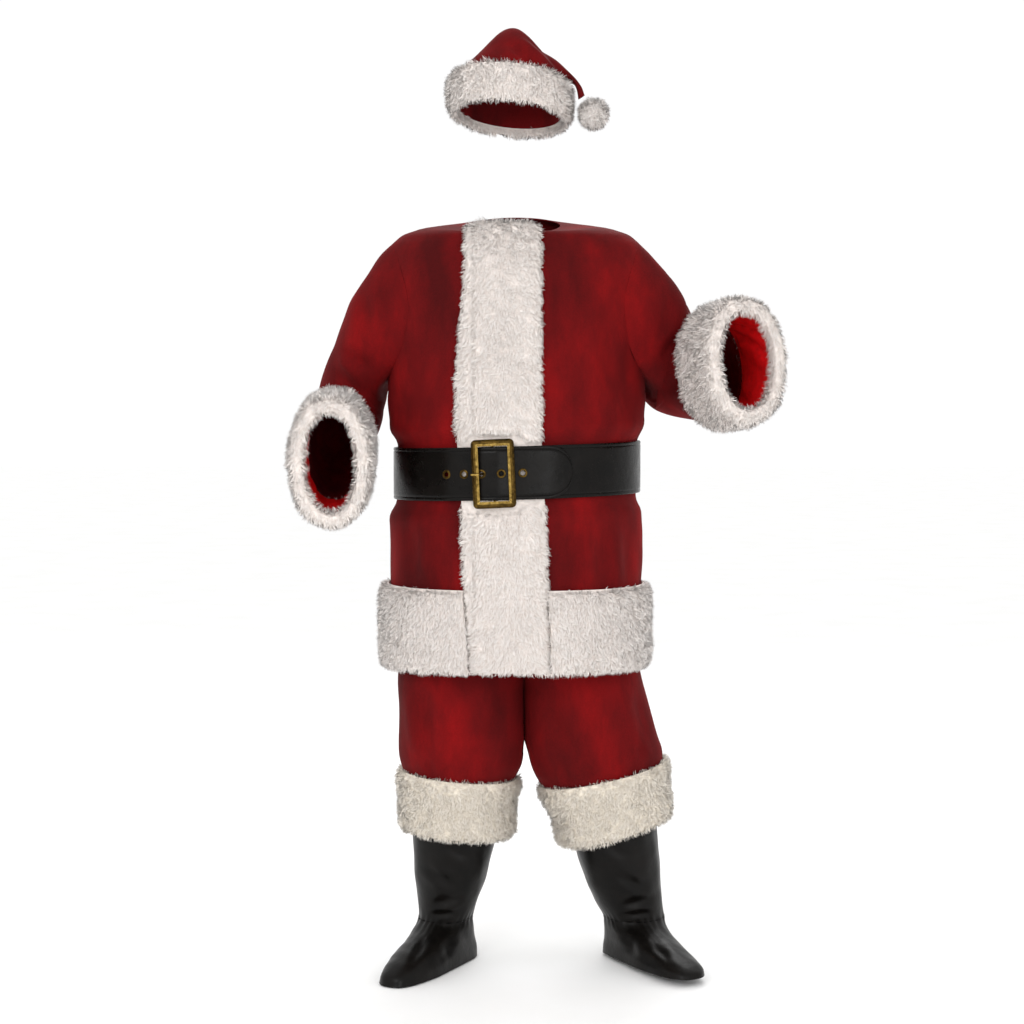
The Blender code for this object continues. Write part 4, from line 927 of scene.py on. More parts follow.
def add_plush(skin, node, bearing, dye, count, length, lay, seed, reach=None):
    """Grows the pile of a trim's skin, ties both to the suit, and has the skin stand for the trim's
    CAD solid.
    """
    kind = finish(f"acrylic_plush_{dye}")
    pile = grow_pile(f"{skin.name}_pile", skin, bearing, kind, count, length, lay, seed, reach)
    settle(skin, f"fur_{dye}", node)
    return pile


def add_sheet(name, cloth, kind, held, *nodes, closed=False):
    """A garment's panel between the two faces of its cloth, tied to its solids."""
    material, slot = CLOTHS[kind]
    outer, inner = cloth
    piece = shell(name, outer, inner, finish(material), closed)
    settle(piece, slot, *nodes)


jacket = ring_surface(JACKET)
JACKET_OUTWARDS = turned_out(jacket, 0.3, 0.3, (0, 0, -0.3))


def armhole(side, around):
    """The armhole's curve on the jacket: round from the shoulder's point, first to the front."""
    drop = ARMHOLE_DROP - ARMHOLE_HALF_HEIGHT * np.cos(around)
    return jacket(drop, side * (math.pi / 2 - ARMHOLE_HALF_ANGLE * np.sin(around)))


def armhole_reach(drop):
    """How far the armhole opens at a drop, as an angle to each side of the side line."""
    part = (np.asarray(drop, float) - ARMHOLE_DROP) / ARMHOLE_HALF_HEIGHT
    return ARMHOLE_HALF_ANGLE * np.sqrt(np.clip(1 - part**2, 0.0, 1.0))


def belt_middle(x):
    """The drop of the belt's middle line, which climbs towards the wearer's left."""
    return BELT_DROP - BELT_SLOPE * np.asarray(x, float)


def jacket_relief(points):
    """The jacket's slack: none under the belt, at the armholes or at the neck's turned edge."""
    drop = -points[..., 2]
    belt = np.abs(drop - belt_middle(points[..., 0])) - BELT_WIDTH / 2
    free = smooth_step(0.004, 0.045, belt) * smooth_step(0.01, 0.08, drop)
    seam = 1 - np.exp(-(((np.abs(points[..., 0]) - 0.262) / 0.03) ** 2)) * (drop < 0.36)
    relief = soft_waves(points, 0.055, 0.0022) + crease_relief(points, JACKET_CREASES)
    # The belt draws the cloth in, so it puffs out above it and below it.
    puff = 0.0045 * np.exp(-(((belt - 0.030) / 0.018) ** 2))
    upright = np.sin(points[..., 0] * 95 + points[..., 1] * 60)
    gathers = 0.0022 * upright * np.exp(-(((belt - 0.010) / 0.022) ** 2))
    return (relief + puff + gathers) * free * seam


def jacket_drops():
    """The drops of the jacket's rows, close together at the armhole's ends and at the belt."""
    beside = ARMHOLE_DROP - ARMHOLE_HALF_HEIGHT * np.cos(np.linspace(0, math.pi, 45))
    above = np.linspace(0.0, ARMHOLE_DROP - ARMHOLE_HALF_HEIGHT, 12)[:-1]
    below = np.linspace(ARMHOLE_DROP + ARMHOLE_HALF_HEIGHT, HEM_DROP, 72)[1:]
    return np.concatenate([above, beside, below])


def full_turn(count):
    """The angles of a tube's columns."""
    return np.linspace(0, 2 * math.pi, count, endpoint=False)


def tube_middle(surface, drop):
    return surface(drop, np.array([0.0, math.pi])).mean(axis=0)


def layers(surface, along, around, out, thick, outwards, step=2e-4):
    """The outer and the inner face of a cloth that stands out from a surface."""
    return tuple(
        lifted(surface, along, around, height, outwards, step) for height in (out, out - thick)
    )


def relieved(surface, along, around, outwards, relief, thick):
    """The two faces of a cloth whose slack is a relief on its surface."""
    return layers(surface, along, around, relief(surface(along, around)), thick, outwards)


def sleeve_surface(side, table):
    """The sleeve as a function of the way along it in metres and the angle round it.

    With it come the sleeve's length, and 1 or -1 for the way that its normal points.
    """
    rows = np.asarray(table, float)
    middles = (rows[:, 0:3] + rows[:, 3:6]) / 2
    steps = np.linalg.norm(np.diff(middles, axis=0), axis=1)
    keyed = np.column_stack([np.concatenate([[0.0], np.cumsum(steps)]), rows])

    def middle(row):
        return (row[..., 1:4] + row[..., 4:7]) / 2

    def surface(along, around):
        along, around = np.broadcast_arrays(np.asarray(along, float), np.asarray(around, float))
        row = table_row(keyed, along)
        axis = middle(table_row(keyed, along + 2e-3)) - middle(table_row(keyed, along - 2e-3))
        outer = (row[..., 1:4] - row[..., 4:7]) / 2
        across = side * np.cross(axis, outer)
        across /= np.linalg.norm(across, axis=-1, keepdims=True)
        cosine, sine = bent(np.cos(around), 2.15), bent(np.sin(around), 2.15)
        reach = np.where(sine > 0, row[..., 7], row[..., 8]) * sine
        ring = middle(row) + cosine[..., None] * outer + reach[..., None] * across
        joined = armhole(side, around) + (middle(row) - middles[0])
        shaped = np.clip(row[..., 9], 0.0, 1.0)[..., None]
        return joined * (1 - shaped) + ring * shaped

    length = keyed[-1, 0]
    return surface, length, turned_out(surface, length - 0.08, 0.5, middles[-2])


def front_angle(drop, x):
    """The angle on the jacket's front where x is reached."""
    row = table_row(JACKET, np.asarray(drop, float))
    share = (np.asarray(x, float) - row[..., COLUMN["x"]]) / row[..., COLUMN["half"]]
    square = row[..., COLUMN["square"]]
    return np.arcsin(np.clip(np.sign(share) * np.abs(share) ** (square / 2), -1, 1))


def placket_edges(drop):
    edges = table_row(PLACKET_EDGES, np.asarray(drop, float))
    return edges[..., 1], edges[..., 2]


def placket_pile(drop, x):
    """The placket's pile, pressed flat behind the belt and behind the taller buckle."""
    near = np.abs(drop - belt_middle(x)) - BELT_WIDTH / 2
    behind = smooth_step(-0.104, -0.084, x) * (1 - smooth_step(0.002, 0.022, x))
    free = smooth_step(0.0035, 0.018, near - 0.0165 * behind)
    return PRESSED_PILE + (PLACKET_PILE - PRESSED_PILE) * free


def belt_surface(along, around):
    """The belt's bed: a way down from its middle line and an angle round the jacket."""
    along, around = np.broadcast_arrays(np.asarray(along, float), np.asarray(around, float))
    row = table_row(JACKET, np.full(around.shape, BELT_DROP))
    x = row[..., COLUMN["x"]] + row[..., COLUMN["half"]] * bent(
        np.sin(around), row[..., COLUMN["square"]]
    )
    drop = belt_middle(x) + along
    bed = jacket(np.full(around.shape, BELT_DROP), around)
    bed[..., 2] = -drop
    return bed


def belt_bed(around):
    """How far the strap stands off: over the placket it is lifted by the pressed pile."""
    x = belt_surface(0.0, around)[..., 0]
    front = np.cos(around) > 0
    lift = smooth_step(-0.175, -0.118, x) * (1 - smooth_step(0.058, 0.110, x))
    return 0.0036 + BELT_LIFT * np.where(front, lift, 0.0)


def belt_angle(x):
    """The angle on the belt's front where x is reached."""
    row = table_row(JACKET, np.float64(BELT_DROP))
    share = (x - row[COLUMN["x"]]) / row[COLUMN["half"]]
    return math.asin(math.copysign(abs(share) ** (row[COLUMN["square"]] / 2), share))


BELT_OUTWARDS = turned_out(belt_surface, 0.0, 0.2, (0, 0, -BELT_DROP))


def tail_lift(x):
    """The tail rides over the strap's inner end, and over the buckle's bar and prong."""
    over_strap = (STRAP + 0.0006) * smooth_step(-0.122, -0.044, x)
    over_bar = 0.0034 * smooth_step(-0.090, -0.055, x) * (1 - smooth_step(-0.038, -0.010, x))
    return over_strap + over_bar


def tail_point(x, out, down=0.0):
    """A point at x on the tail's front, a distance out from the strap's outer face."""
    angle = belt_angle(x)
    lift = float(belt_bed(np.float64(angle))) + float(tail_lift(x)) + STRAP
    return lifted(belt_surface, down, angle, lift + out, BELT_OUTWARDS)


def buckle_axes():
    """The buckle lies flat against the belly: its middle and its right, up and out directions."""
    slope = math.atan(BELT_SLOPE) + math.radians(0.9)
    right = np.array([math.cos(slope), 0.0, math.sin(slope)])
    out = np.array([-0.10, -1.0, -0.01])
    out -= right * np.dot(out, right)
    out /= np.linalg.norm(out)
    up = np.cross(out, right)
    middle = tail_point(BUCKLE_AT, 0.0)
    ends = [
        tail_point(BUCKLE_AT + side * 0.035, 0.0, down)
        for side in (-1.25, -1, -0.75, 0.75, 1, 1.25)
        for down in (-0.05, 0.0, 0.05)
    ]
    clearance = max(np.dot(point - middle, out) for point in ends) + 0.0007
    return middle + out * clearance, right, up, out


def seam_plane(drop):
    """Where the trousers' two halves meet, as x."""
    return 0.0155 * smooth_step(0.58, 0.82, drop)


def crown_surface(along, around):
    """The hat's crown: a row number along it and an angle round it, from the upper edge."""
    along, around = np.broadcast_arrays(np.asarray(along, float), np.asarray(around, float))
    keyed = np.column_stack([np.arange(len(HAT_CROWN)), np.asarray(HAT_CROWN)])
    row = table_row(keyed, along)
    upper = np.stack([row[..., 1], row[..., 5], row[..., 2]], axis=-1)
    lower = np.stack([row[..., 3], row[..., 5], row[..., 4]], axis=-1)
    share = (1 + bent(np.cos(around), 2.1))[..., None] / 2
    point = upper * share + lower * (1 - share)
    forwards = row[..., 6] * bent(np.sin(around), 2.1)
    point[..., 1] -= forwards
    point[..., 2] += forwards * row[..., 7]
    return point


def band_outline(length, pile, lip_in, lip_out, stand):
    """A fur band's outline as (way past the cloth's edge, distance out from the cloth)."""
    inside = -VELVET - SATIN - 7 * SEAM_GAP
    return (
        (-length, stand),
        (-length - 0.002, pile * 0.45),
        (-length + 0.012, pile * 0.90),
        (-length * 0.45, pile),
        (-0.010, pile * 0.95),
        (lip_out * 0.65, pile * 0.60),
        (lip_out * 0.85, 0.0),
        (lip_out * 0.6, -lip_in * 0.55),
        (-0.004, -lip_in * 0.8),
        (-lip_in * 0.8, -lip_in * 0.7),
        (-lip_in - 0.002, inside),
        (SEAM_GAP * 2, inside),
        (SEAM_GAP * 2, stand),
        (-length * 0.5, stand),
    )


def add_fur_band(name, node, surface, edge, outline, outwards, dye, bare_from=9.8, **fur):
    """A tube of plush round an edge: its under-pile and the longer hairs on it."""
    curve = rounded(outline)
    corner = np.arange(len(curve)) / CURVE_POINTS
    bears = (corner > -0.1) & (corner < bare_from)
    around = full_turn(110)[:, None]
    lumps = 1 + 0.06 * np.sin(around * 7 + 0.6) + 0.04 * np.sin(around * 17 + 2.0)
    out = curve[:, 1] * np.where(curve[:, 1] > BACKING * 2, lumps, 1.0)
    points = lifted(surface, edge + curve[:, 0], around, out, outwards)
    skin = sweep(name, points, finish(f"acrylic_underpile_{dye}"), closed=True)
    pile = add_plush(skin, node, np.tile(bears, len(around)), dye, **fur)
    shown = points[:, bears].transpose(1, 0, 2)


def colour_setting(name, description, colour):
    """A colour that a user can change, with its default as sRGB hex."""
    return bpy.props.FloatVectorProperty(
        name=name, description=description, subtype="COLOR", size=4, default=linear(colour)
    )


def length_setting(name, description, default):
    """A length in metres that a user can change."""
    return bpy.props.FloatProperty(
        name=name, description=description, default=default, min=0.0, unit="LENGTH"
    )


class SuitSizes(bpy.types.PropertyGroup):
    """Lengths of the fur, the slack of the cloth and how thick the pile is set."""

    fur_length: length_setting("Fur length", "Length of the long hairs of the white plush", 0.0140)
    cream_length: length_setting("Cuff fur length", "Length of the trouser cuffs' hairs", 0.0125)
    pompom_length: length_setting("Pom-pom hair", "Length of the pom-pom's hairs", 0.0165)
    skin_share: bpy.props.FloatProperty(
        name="Under-pile",
        description="Share of a trim's reach that is dense under-pile",
        default=0.70,
        min=0.2,
        max=0.9,
        subtype="FACTOR",
    )
    slack: length_setting("Slack", "How far the velvet waves between its creases", 0.0020)
    hairs: bpy.props.IntProperty(
        name="Hairs",
        description="Hairs on the placket, which the other trims go by",
        default=27000,
        min=1000,
        max=33000,
    )


class SuitColours(bpy.types.PropertyGroup):
    """The suit's dyes and finishes, and the painted light and shade of its velvet, satin, plush and
    brass.
    """

    velvet: colour_setting("Velvet", "Velvet between its lights and its shades", "#66070a")
    # Velvet shade and velvet light are painted shade and painted light: the velvet's patches, and
    # the hollows of the elastic's ribs.
    velvet_shade: colour_setting("Velvet shade", "Velvet with the nap laid away", "#4a0608")
    velvet_light: colour_setting("Velvet light", "Velvet with the nap laid forward", "#84090c")
    velvet_sheen: colour_setting("Velvet sheen", "Tint of the pile seen edge on", "#b02c30")
    satin: colour_setting("Satin", "The cuffs' lining", "#e2171b")
    # Satin shade is painted shade: the lining's darker mottle, where it would fold.
    satin_shade: colour_setting("Satin shade", "The lining's darker weave", "#c41216")
    # Fur root and fur tip are painted shade and painted light: darker deep in the pile and in the
    # under-pile, lighter at the tips.
    white_root: colour_setting("White fur root", "White plush at the skin", "#eee2da")
    white_body: colour_setting("White fur", "White plush", "#fbf2ec")
    white_tip: colour_setting("White fur tip", "White plush at the hairs' tips", "#fffbf8")
    # Cream fur root and tip: painted shade deep in the pile and in the under-pile, painted light at
    # the tips.
    cream_root: colour_setting("Cream fur root", "Cream plush at the skin", "#d9cdba")
    cream_body: colour_setting("Cream fur", "Cream plush", "#efe6d8")
    cream_tip: colour_setting("Cream fur tip", "Cream plush at the hairs' tips", "#faf4ea")
    vinyl: colour_setting("Vinyl", "Black leathercloth", "#0f0c0a")
    vinyl_shade: colour_setting("Vinyl shade", "Leathercloth where it is rubbed less", "#080706")
    brass: colour_setting("Brass", "Worn antique brass", "#664f24")
    brass_dark: colour_setting("Brass lacquer", "Brown lacquer in the brass's hollows", "#291f0d")
    # Bright brass is rubbed wear and a painted highlight: the prong and the buckle's inner slope.
    brass_bright: colour_setting("Bright brass", "Brass rubbed bright", "#cba95c")
    floor: colour_setting("Floor", "Pale studio paper", "#ffffff")
    floor_shade: colour_setting("Floor shade", "The paper's faint mottle", "#fbfbfa")


class SUIT_OT_jacket(bpy.types.Operator):
    """Cuts the jacket's two fronts and its back from velvet, drawn in at the belt"""

    bl_idname = "suit.jacket"
    bl_label = "Jacket"

    def execute(self, context):
        drops = jacket_drops()
        side_edge = math.pi / 2 - (armhole_reach(drops) + PANEL_GAP)[:, None]
        front_edge = PANEL_GAP * 0.5
        for side, word in SIDES:
            angles = side * (front_edge + (side_edge - front_edge) * np.linspace(0, 1, 46))
            self.panel(f"velvet_front_{word}", drops, angles, f"jacket_front_{word}")
        angles = math.pi + side_edge * np.linspace(-1, 1, 90)
        self.panel("velvet_back", drops, angles, "jacket_back")
        return {"FINISHED"}

    def panel(self, name, drops, angles, node):
        cloth = relieved(jacket, drops[:, None], angles, JACKET_OUTWARDS, jacket_relief, VELVET)
        add_sheet(name, cloth, "velvet", "draped", node)


class SUIT_OT_sleeves(bpy.types.Operator):
    """Sets in the two wide sleeves, creased at their elbows, with satin inside their cuffs"""

    bl_idname = "suit.sleeves"
    bl_label = "Sleeves"

    def execute(self, context):
        for (side, word), table in zip(SIDES, (SLEEVE_RIGHT, SLEEVE_LEFT)):
            self.sleeve(side, table, word, context.scene.suit_sizes.slack)
        return {"FINISHED"}

    def sleeve(self, side, table, word, depth):
        surface, length, outwards = sleeve_surface(side, table)
        around = full_turn(90)
        ways = np.linspace(SEAM_GAP * 0.5, length, 120)[:, None]
        free = smooth_step(0.0, 0.05, ways)

        def slack(points):
            return (soft_waves(points, 0.05, depth) + crease_relief(points, SLEEVE_CREASES)) * free

        cloth = relieved(surface, ways, around, outwards, slack, VELVET)
        nodes = f"sleeve_front_{word}", f"sleeve_back_{word}"
        add_sheet(f"velvet_sleeve_{word}", cloth, "velvet", "draped", *nodes, closed=True)
        # The lining is fuller than the cuff, so it ruches inside it.
        ways = np.linspace(length - LINING_LENGTH, length - 0.004, 44)[:, None]
        full = 0.5 + 0.5 * np.sin(around * 11 + ways * 55 + 1.5 * np.sin(around * 3 + ways * 30))
        fade = smooth_step(0, 0.012, length - 0.004 - ways) * smooth_step(0, 0.02, ways - ways[0])
        inwards = VELVET + 4 * SEAM_GAP + LINING_FULLNESS * full * fade
        cloth = layers(surface, ways, around, -inwards, SATIN, outwards)
        node = f"cuff_lining_{word}"
        add_sheet(f"satin_lining_{word}", cloth, "satin", "gathered", node, closed=True)


class SUIT_OT_cuffs(bpy.types.Operator):
    """Turns the plush cuffs over the sleeves' ends"""

    bl_idname = "suit.cuffs"
    bl_label = "Sleeve cuffs"

    def execute(self, context):
        sizes = context.scene.suit_sizes
        pile = PILE * 1.04 * sizes.skin_share
        outline = band_outline(CUFF_LENGTH, pile, 0.011, 0.014, SEAM_GAP * 5)
        for (side, word), table, seed in zip(SIDES, (SLEEVE_RIGHT, SLEEVE_LEFT), (11, 12)):
            surface, edge, outwards = sleeve_surface(side, table)
            add_fur_band(
                f"plush_cuff_{word}",
                f"cuff_fur_{word}",
                surface,
                edge,
                outline,
                outwards,
                "white",
                count=int(sizes.hairs * CUFF_HAIRS),
                length=sizes.fur_length,
                lay=(0.0, 0.0, -0.35),
                seed=seed,
            )
        return {"FINISHED"}


class SUIT_OT_front_and_hem_fur(bpy.types.Operator):
    """Sews the wide plush placket down the front and the plush band round the hem"""

    bl_idname = "suit.front_and_hem_fur"
    bl_label = "Placket and hem fur"

    def execute(self, context):
        sizes = context.scene.suit_sizes
        self.placket(sizes)
        self.hem(sizes)
        return {"FINISHED"}

    def placket(self, sizes):
        drops = np.linspace(0.004, HEM_DROP + 0.007, 190)[:, None]
        share = np.linspace(0, 1, 44)
        right, left = placket_edges(drops)
        x = right + (left - right) * share
        angle = front_angle(drops, x)
        plump = (1 - np.abs(2 * share - 1) ** 5) ** 0.6
        foot = 0.4 + 0.6 * smooth_step(-0.002, 0.010, drops[-1] - drops)
        ends = smooth_step(-0.002, 0.012, drops - drops[0]) * foot
        height = placket_pile(drops, x) * sizes.skin_share * plump * ends
        # The strip is folded and stitched under near its right edge, which leaves a slight dip.
        height *= 1 - 0.30 * np.exp(-(((x + 0.080) / 0.004) ** 2))
        height *= 1 + 0.10 * np.sin(drops * 60 + x * 31) * np.sin(x * 45 + 0.7)
        outer = lifted(jacket, drops, angle, BACKING + 0.0006 + height, JACKET_OUTWARDS)
        inner = lifted(jacket, drops, angle, BACKING, JACKET_OUTWARDS)
        skin = shell("plush_placket", outer, inner, finish("acrylic_underpile_white"))
        bearing = np.arange(len(skin.data.vertices)) < outer.shape[0] * outer.shape[1]

        def reach(points):
            pile = placket_pile(-points[:, 2], points[:, 0])
            return np.clip(pile / PLACKET_PILE, 0.25, 1.0)

        def lay(points):
            right, left = placket_edges(-points[:, 2])
            side = (points[:, 0] - (right + left) / 2) / (left - right)
            return np.stack([side * 0.8, np.zeros_like(side), np.full_like(side, -0.45)], axis=-1)

        hairs, length = sizes.hairs, sizes.fur_length
        pile = add_plush(skin, "placket_fur", bearing, "white", hairs, length, lay, 21, reach)

    def hem(self, sizes):
        height = PILE * sizes.skin_share
        outline = rounded(
            (
                (-HEM_BAND, BACKING),
                (-HEM_BAND - 0.002, height * 0.5),
                (-HEM_BAND + 0.012, height * 0.93),
                (-HEM_BAND * 0.5, height),
                (-0.012, height * 0.95),
                (0.004, height * 0.62),
                (0.006, 0.001),
                (0.003, -0.003),
                (SEAM_GAP * 3, -0.002),
                (SEAM_GAP * 3, BACKING),
                (-HEM_BAND * 0.5, BACKING),
            )
        )
        corner = np.arange(len(outline)) / CURVE_POINTS
        bears = (corner > 0.4) & (corner < 6.7)
        way, out = outline[:, 0], outline[:, 1]
        drop = HEM_DROP + way
        right, left = placket_edges(drop)
        quarter = np.full_like(drop, math.pi / 2)
        spans = (
            ("right", front_angle(drop, right - HEM_CLEAR), -quarter, 50, 0.38, 31),
            ("left", front_angle(drop, left + HEM_CLEAR), quarter, 60, 0.45, 32),
            ("back", quarter + 0.001, quarter * 3 - 0.001, 130, 0.95, 33),
        )
        for word, start, end, count, share, seed in spans:
            angles = start + (end - start) * np.linspace(0, 1, count)[:, None]
            lumps = 1 + 0.07 * np.sin(angles * 9 + way * 30)
            lumped = np.where(out > 0.005, out * lumps, out)
            points = lifted(jacket, drop, angles, lumped, JACKET_OUTWARDS)
            skin = sweep(f"plush_hem_{word}", points, finish("acrylic_underpile_white"))
            pile = add_plush(
                skin,
                f"hem_fur_{word}",
                np.tile(bears, count),
                "white",
                int(sizes.hairs * share),
                sizes.fur_length,
                (0.0, 0.0, -0.45),
                seed,
            )
            points[:, bears].transpose(1, 0, 2)


class SUIT_OT_trousers(bpy.types.Operator):
    """Sews the trousers' four panels, their elastic waistband and their cream plush cuffs"""

    bl_idname = "suit.trousers"
    bl_label = "Trousers"

    def execute(self, context):
        sizes = context.scene.suit_sizes
        for (side, word), table, seed in zip(SIDES, (TROUSER_RIGHT, TROUSER_LEFT), (41, 42)):
            self.leg(side, table, word, seed, sizes)
        surface = ring_surface(WAISTBAND)
        outwards = turned_out(surface, 0.54, 1.0, (0, 0, -0.54))
        drops = np.linspace(0.520, 0.5595, 10)[:, None]
        around = full_turn(240)
        ribs = RIB_HEIGHT * np.sin(around * 60) * np.ones_like(drops) - RIB_HEIGHT
        cloth = layers(surface, drops, around, ribs, ELASTIC, outwards)
        add_sheet("elastic_waistband", cloth, "elastic", "stretched", "waistband", closed=True)
        return {"FINISHED"}

    def leg(self, side, table, word, seed, sizes):
        surface = ring_surface(table, side)
        outwards = turned_out(surface, 1.0, 1.0, tube_middle(surface, 1.0))
        hem = table[-1][0]
        drops = np.linspace(0.5605, hem, 120)[:, None]
        row = table_row(table, drops)
        middle, half, square = (row[..., COLUMN[name]] for name in ("x", "half", "square"))
        share = (side * seam_plane(drops) + 0.0002 - middle) / half
        inner_angle = -np.arcsin(np.clip(-share, 0.0, 1.0) ** (square / 2))
        inner_angle = np.maximum(inner_angle, -math.pi / 2 + PANEL_GAP)
        # Only below the jacket's hem is there room for slack.
        free = smooth_step(0.86, 0.93, drops)

        def slack(points):
            waves = soft_waves(points, 0.06, sizes.slack)
            beside = side * points[..., 0] - side * seam_plane(-points[..., 2])
            from_seam = smooth_step(0.002, 0.045, beside)
            # The thighs press the legs together down to the knee.
            pressed = np.exp(-((beside / 0.022) ** 2)) * (1 - smooth_step(1.03, 1.075, drops))
            creased = (waves + crease_relief(points, TROUSER_CREASES)) * free * from_seam
            return creased + 0.0060 * pressed * free

        for name in ("front", "back"):
            angles = inner_angle + (math.pi / 2 - PANEL_GAP - inner_angle) * np.linspace(0, 1, 44)
            if name == "back":
                angles = math.pi - angles
            cloth = relieved(surface, drops, angles, outwards, slack, VELVET)
            # Where they are pressed together, both legs follow one softly waved surface.
            for layer, depth in zip(cloth, (0.0002, 0.0002 + VELVET * 0.8)):
                wave = 0.0035 * np.sin(cloth[0][..., 1] * 70) * free
                limit = side * (seam_plane(drops) + wave)
                layer[..., 0] = side * np.maximum(side * layer[..., 0], limit + depth)
            node = f"trouser_{name}_{word}"
            add_sheet(f"velvet_leg_{name}_{word}", cloth, "velvet", "draped", node)
        add_fur_band(
            f"plush_trouser_cuff_{word}",
            f"trouser_cuff_fur_{word}",
            surface,
            hem,
            band_outline(TROUSER_CUFF, PILE * sizes.skin_share, 0.005, 0.008, BACKING),
            outwards,
            "cream",
            count=int(sizes.hairs * TROUSER_CUFF_HAIRS),
            length=sizes.cream_length,
            lay=(0.0, 0.0, -0.30),
            seed=seed,
        )


class SUIT_OT_belt(bpy.types.Operator):
    """Wraps the wide vinyl strap round the jacket, with turned and stitched edges and its holes"""

    bl_idname = "suit.belt"
    bl_label = "Belt"

    def execute(self, context):
        turn = 2 * math.pi
        start, end = belt_angle(INNER_END), belt_angle(TAIL_END) + turn
        first = np.linspace(start, math.pi / 2, 40)
        round_back = np.linspace(math.pi / 2, math.pi * 1.5, 90)[1:-1]
        side = np.linspace(math.pi * 1.5, belt_angle(FRONT_START) + turn, 20)[:-1]
        last = [belt_angle(x) + turn for x in np.linspace(FRONT_START, TAIL_END - 0.002, 110)]
        last += [belt_angle(TAIL_END - 0.001) + turn, end]
        angles = np.concatenate([first, round_back, side, last])
        x = belt_surface(0.0, angles)[..., 0]
        second_turn = angles > math.pi * 1.5
        curl = TAIL_CURL * smooth_step(TAIL_END - 0.040, TAIL_END, x)
        lift = belt_bed(angles) + np.where(second_turn, tail_lift(x) + curl, 0.0)
        # The tail's end is rounded: its corners draw in over the last 50 mm of its length.
        left = np.clip((end - angles) * 0.235 / 0.050, 0.0, 1.0)
        half = BELT_WIDTH / 2 * np.where(second_turn, (1 - (1 - left) ** 2.3 * 0.97) ** 0.46, 1.0)
        sections = []
        for angle, here, stand in zip(angles, half, lift):
            upper = [(inset - here, stand + height) for inset, height in BELT_EDGE]
            middle = [(-here * 0.35, stand + STRAP), (here * 0.35, stand + STRAP)]
            lower = [(here - inset, stand + height) for inset, height in reversed(BELT_EDGE)]
            way, out = np.asarray(upper + middle + lower).T
            sections.append(lifted(belt_surface, way, angle, out, BELT_OUTWARDS))
        strap = sweep("vinyl_belt_strap", np.asarray(sections), finish("calendered_vinyl_belt"))
        for at in EYELETS_AT:
            self.punch(strap, at)
        settle(strap, "vinyl_black", "belt_strap")
        return {"FINISHED"}

    def punch(self, strap, at):
        """Cuts one eyelet's hole through the strap."""
        here = tail_point(at, 0.0)
        out = Vector(tail_point(at, 1.0) - here).normalized()
        bpy.ops.object.select_all(action="DESELECT")
        bpy.ops.mesh.primitive_cylinder_add(
            vertices=32,
            radius=EYELET_HOLE + 0.0012,
            depth=0.016,
            location=here,
            rotation=out.to_track_quat("Z", "Y").to_euler(),
        )
        punch = bpy.context.object
        hole = strap.modifiers.new("hole", "BOOLEAN")
        hole.operation = "DIFFERENCE"
        hole.object = punch
        bpy.context.view_layer.objects.active = strap
        bpy.ops.object.modifier_apply(modifier="hole")
        bpy.data.objects.remove(punch)


class SUIT_OT_buckle(bpy.types.Operator):
    """Casts the rectangular buckle, raised along the middle of its sides, and plates the eyelets"""

    bl_idname = "suit.buckle"
    bl_label = "Buckle and eyelets"

    def execute(self, context):
        bpy.ops.object.select_all(action="DESELECT")
        bpy.ops.mesh.primitive_plane_add(size=1.0)
        buckle = context.object
        buckle.name = "brass_buckle_frame"
        buckle.scale = (*BUCKLE_SIZE, 1.0)
        bpy.ops.object.transform_apply(scale=True)
        bpy.ops.object.mode_set(mode="EDIT")
        bpy.ops.mesh.select_all(action="SELECT")
        bpy.ops.mesh.bevel(offset=0.0092, segments=6, affect="VERTICES")
        # Three steps inwards: the outer slope, the flat crest and the bright inner slope, whose
        # brighter brass is partly rubbed wear and partly a painted highlight.
        for step, rise in ((0.0046, 0.0040), (0.0036, 0.0), (0.0048, -0.0034)):
            bpy.ops.mesh.inset(thickness=step)
            bpy.ops.transform.translate(value=(0.0, 0.0, rise))
        bpy.ops.mesh.delete(type="FACE")
        bpy.ops.object.mode_set(mode="OBJECT")
        for material in ("antique_brass", "rubbed_brass"):
            buckle.data.materials.append(finish(material))
        # The inner slope gets the brighter brass: a painted highlight along its bevel, with some
        # rubbed wear.
        wide, tall = (side / 2 - BUCKLE_BAR - 0.001 for side in BUCKLE_SIZE)
        for face in buckle.data.polygons:
            beyond = max(abs(face.center.x) - wide, abs(face.center.y) - tall)
            face.material_index = 1 if beyond < 0.0040 else 0
        thick = buckle.modifiers.new("thick", "SOLIDIFY")
        thick.thickness = BUCKLE_SHEET
        thick.offset = -1.0
        softened = buckle.modifiers.new("softened", "BEVEL")
        softened.width = 0.0006
        softened.segments = 2
        softened.limit_method = "ANGLE"
        softened.angle_limit = math.radians(25)
        for modifier in ("thick", "softened"):
            bpy.ops.object.modifier_apply(modifier=modifier)
        middle, right, up, out = buckle_axes()
        turned = Matrix((right, up, out)).transposed().to_4x4()
        back = Matrix.Translation((0.0, 0.0, BUCKLE_SHEET))
        buckle.data.transform(Matrix.Translation(middle) @ turned @ back)
        settle(buckle, "brass_antique", "buckle_frame")
        for name in ("buckle_bar", "buckle_prong", *(f"eyelet_{n}" for n in range(1, 6))):
            material = "rubbed_brass" if name == "buckle_prong" else "antique_brass"
            bpy.data.objects[name].material_slots[0].material = finish(material)
        return {"FINISHED"}


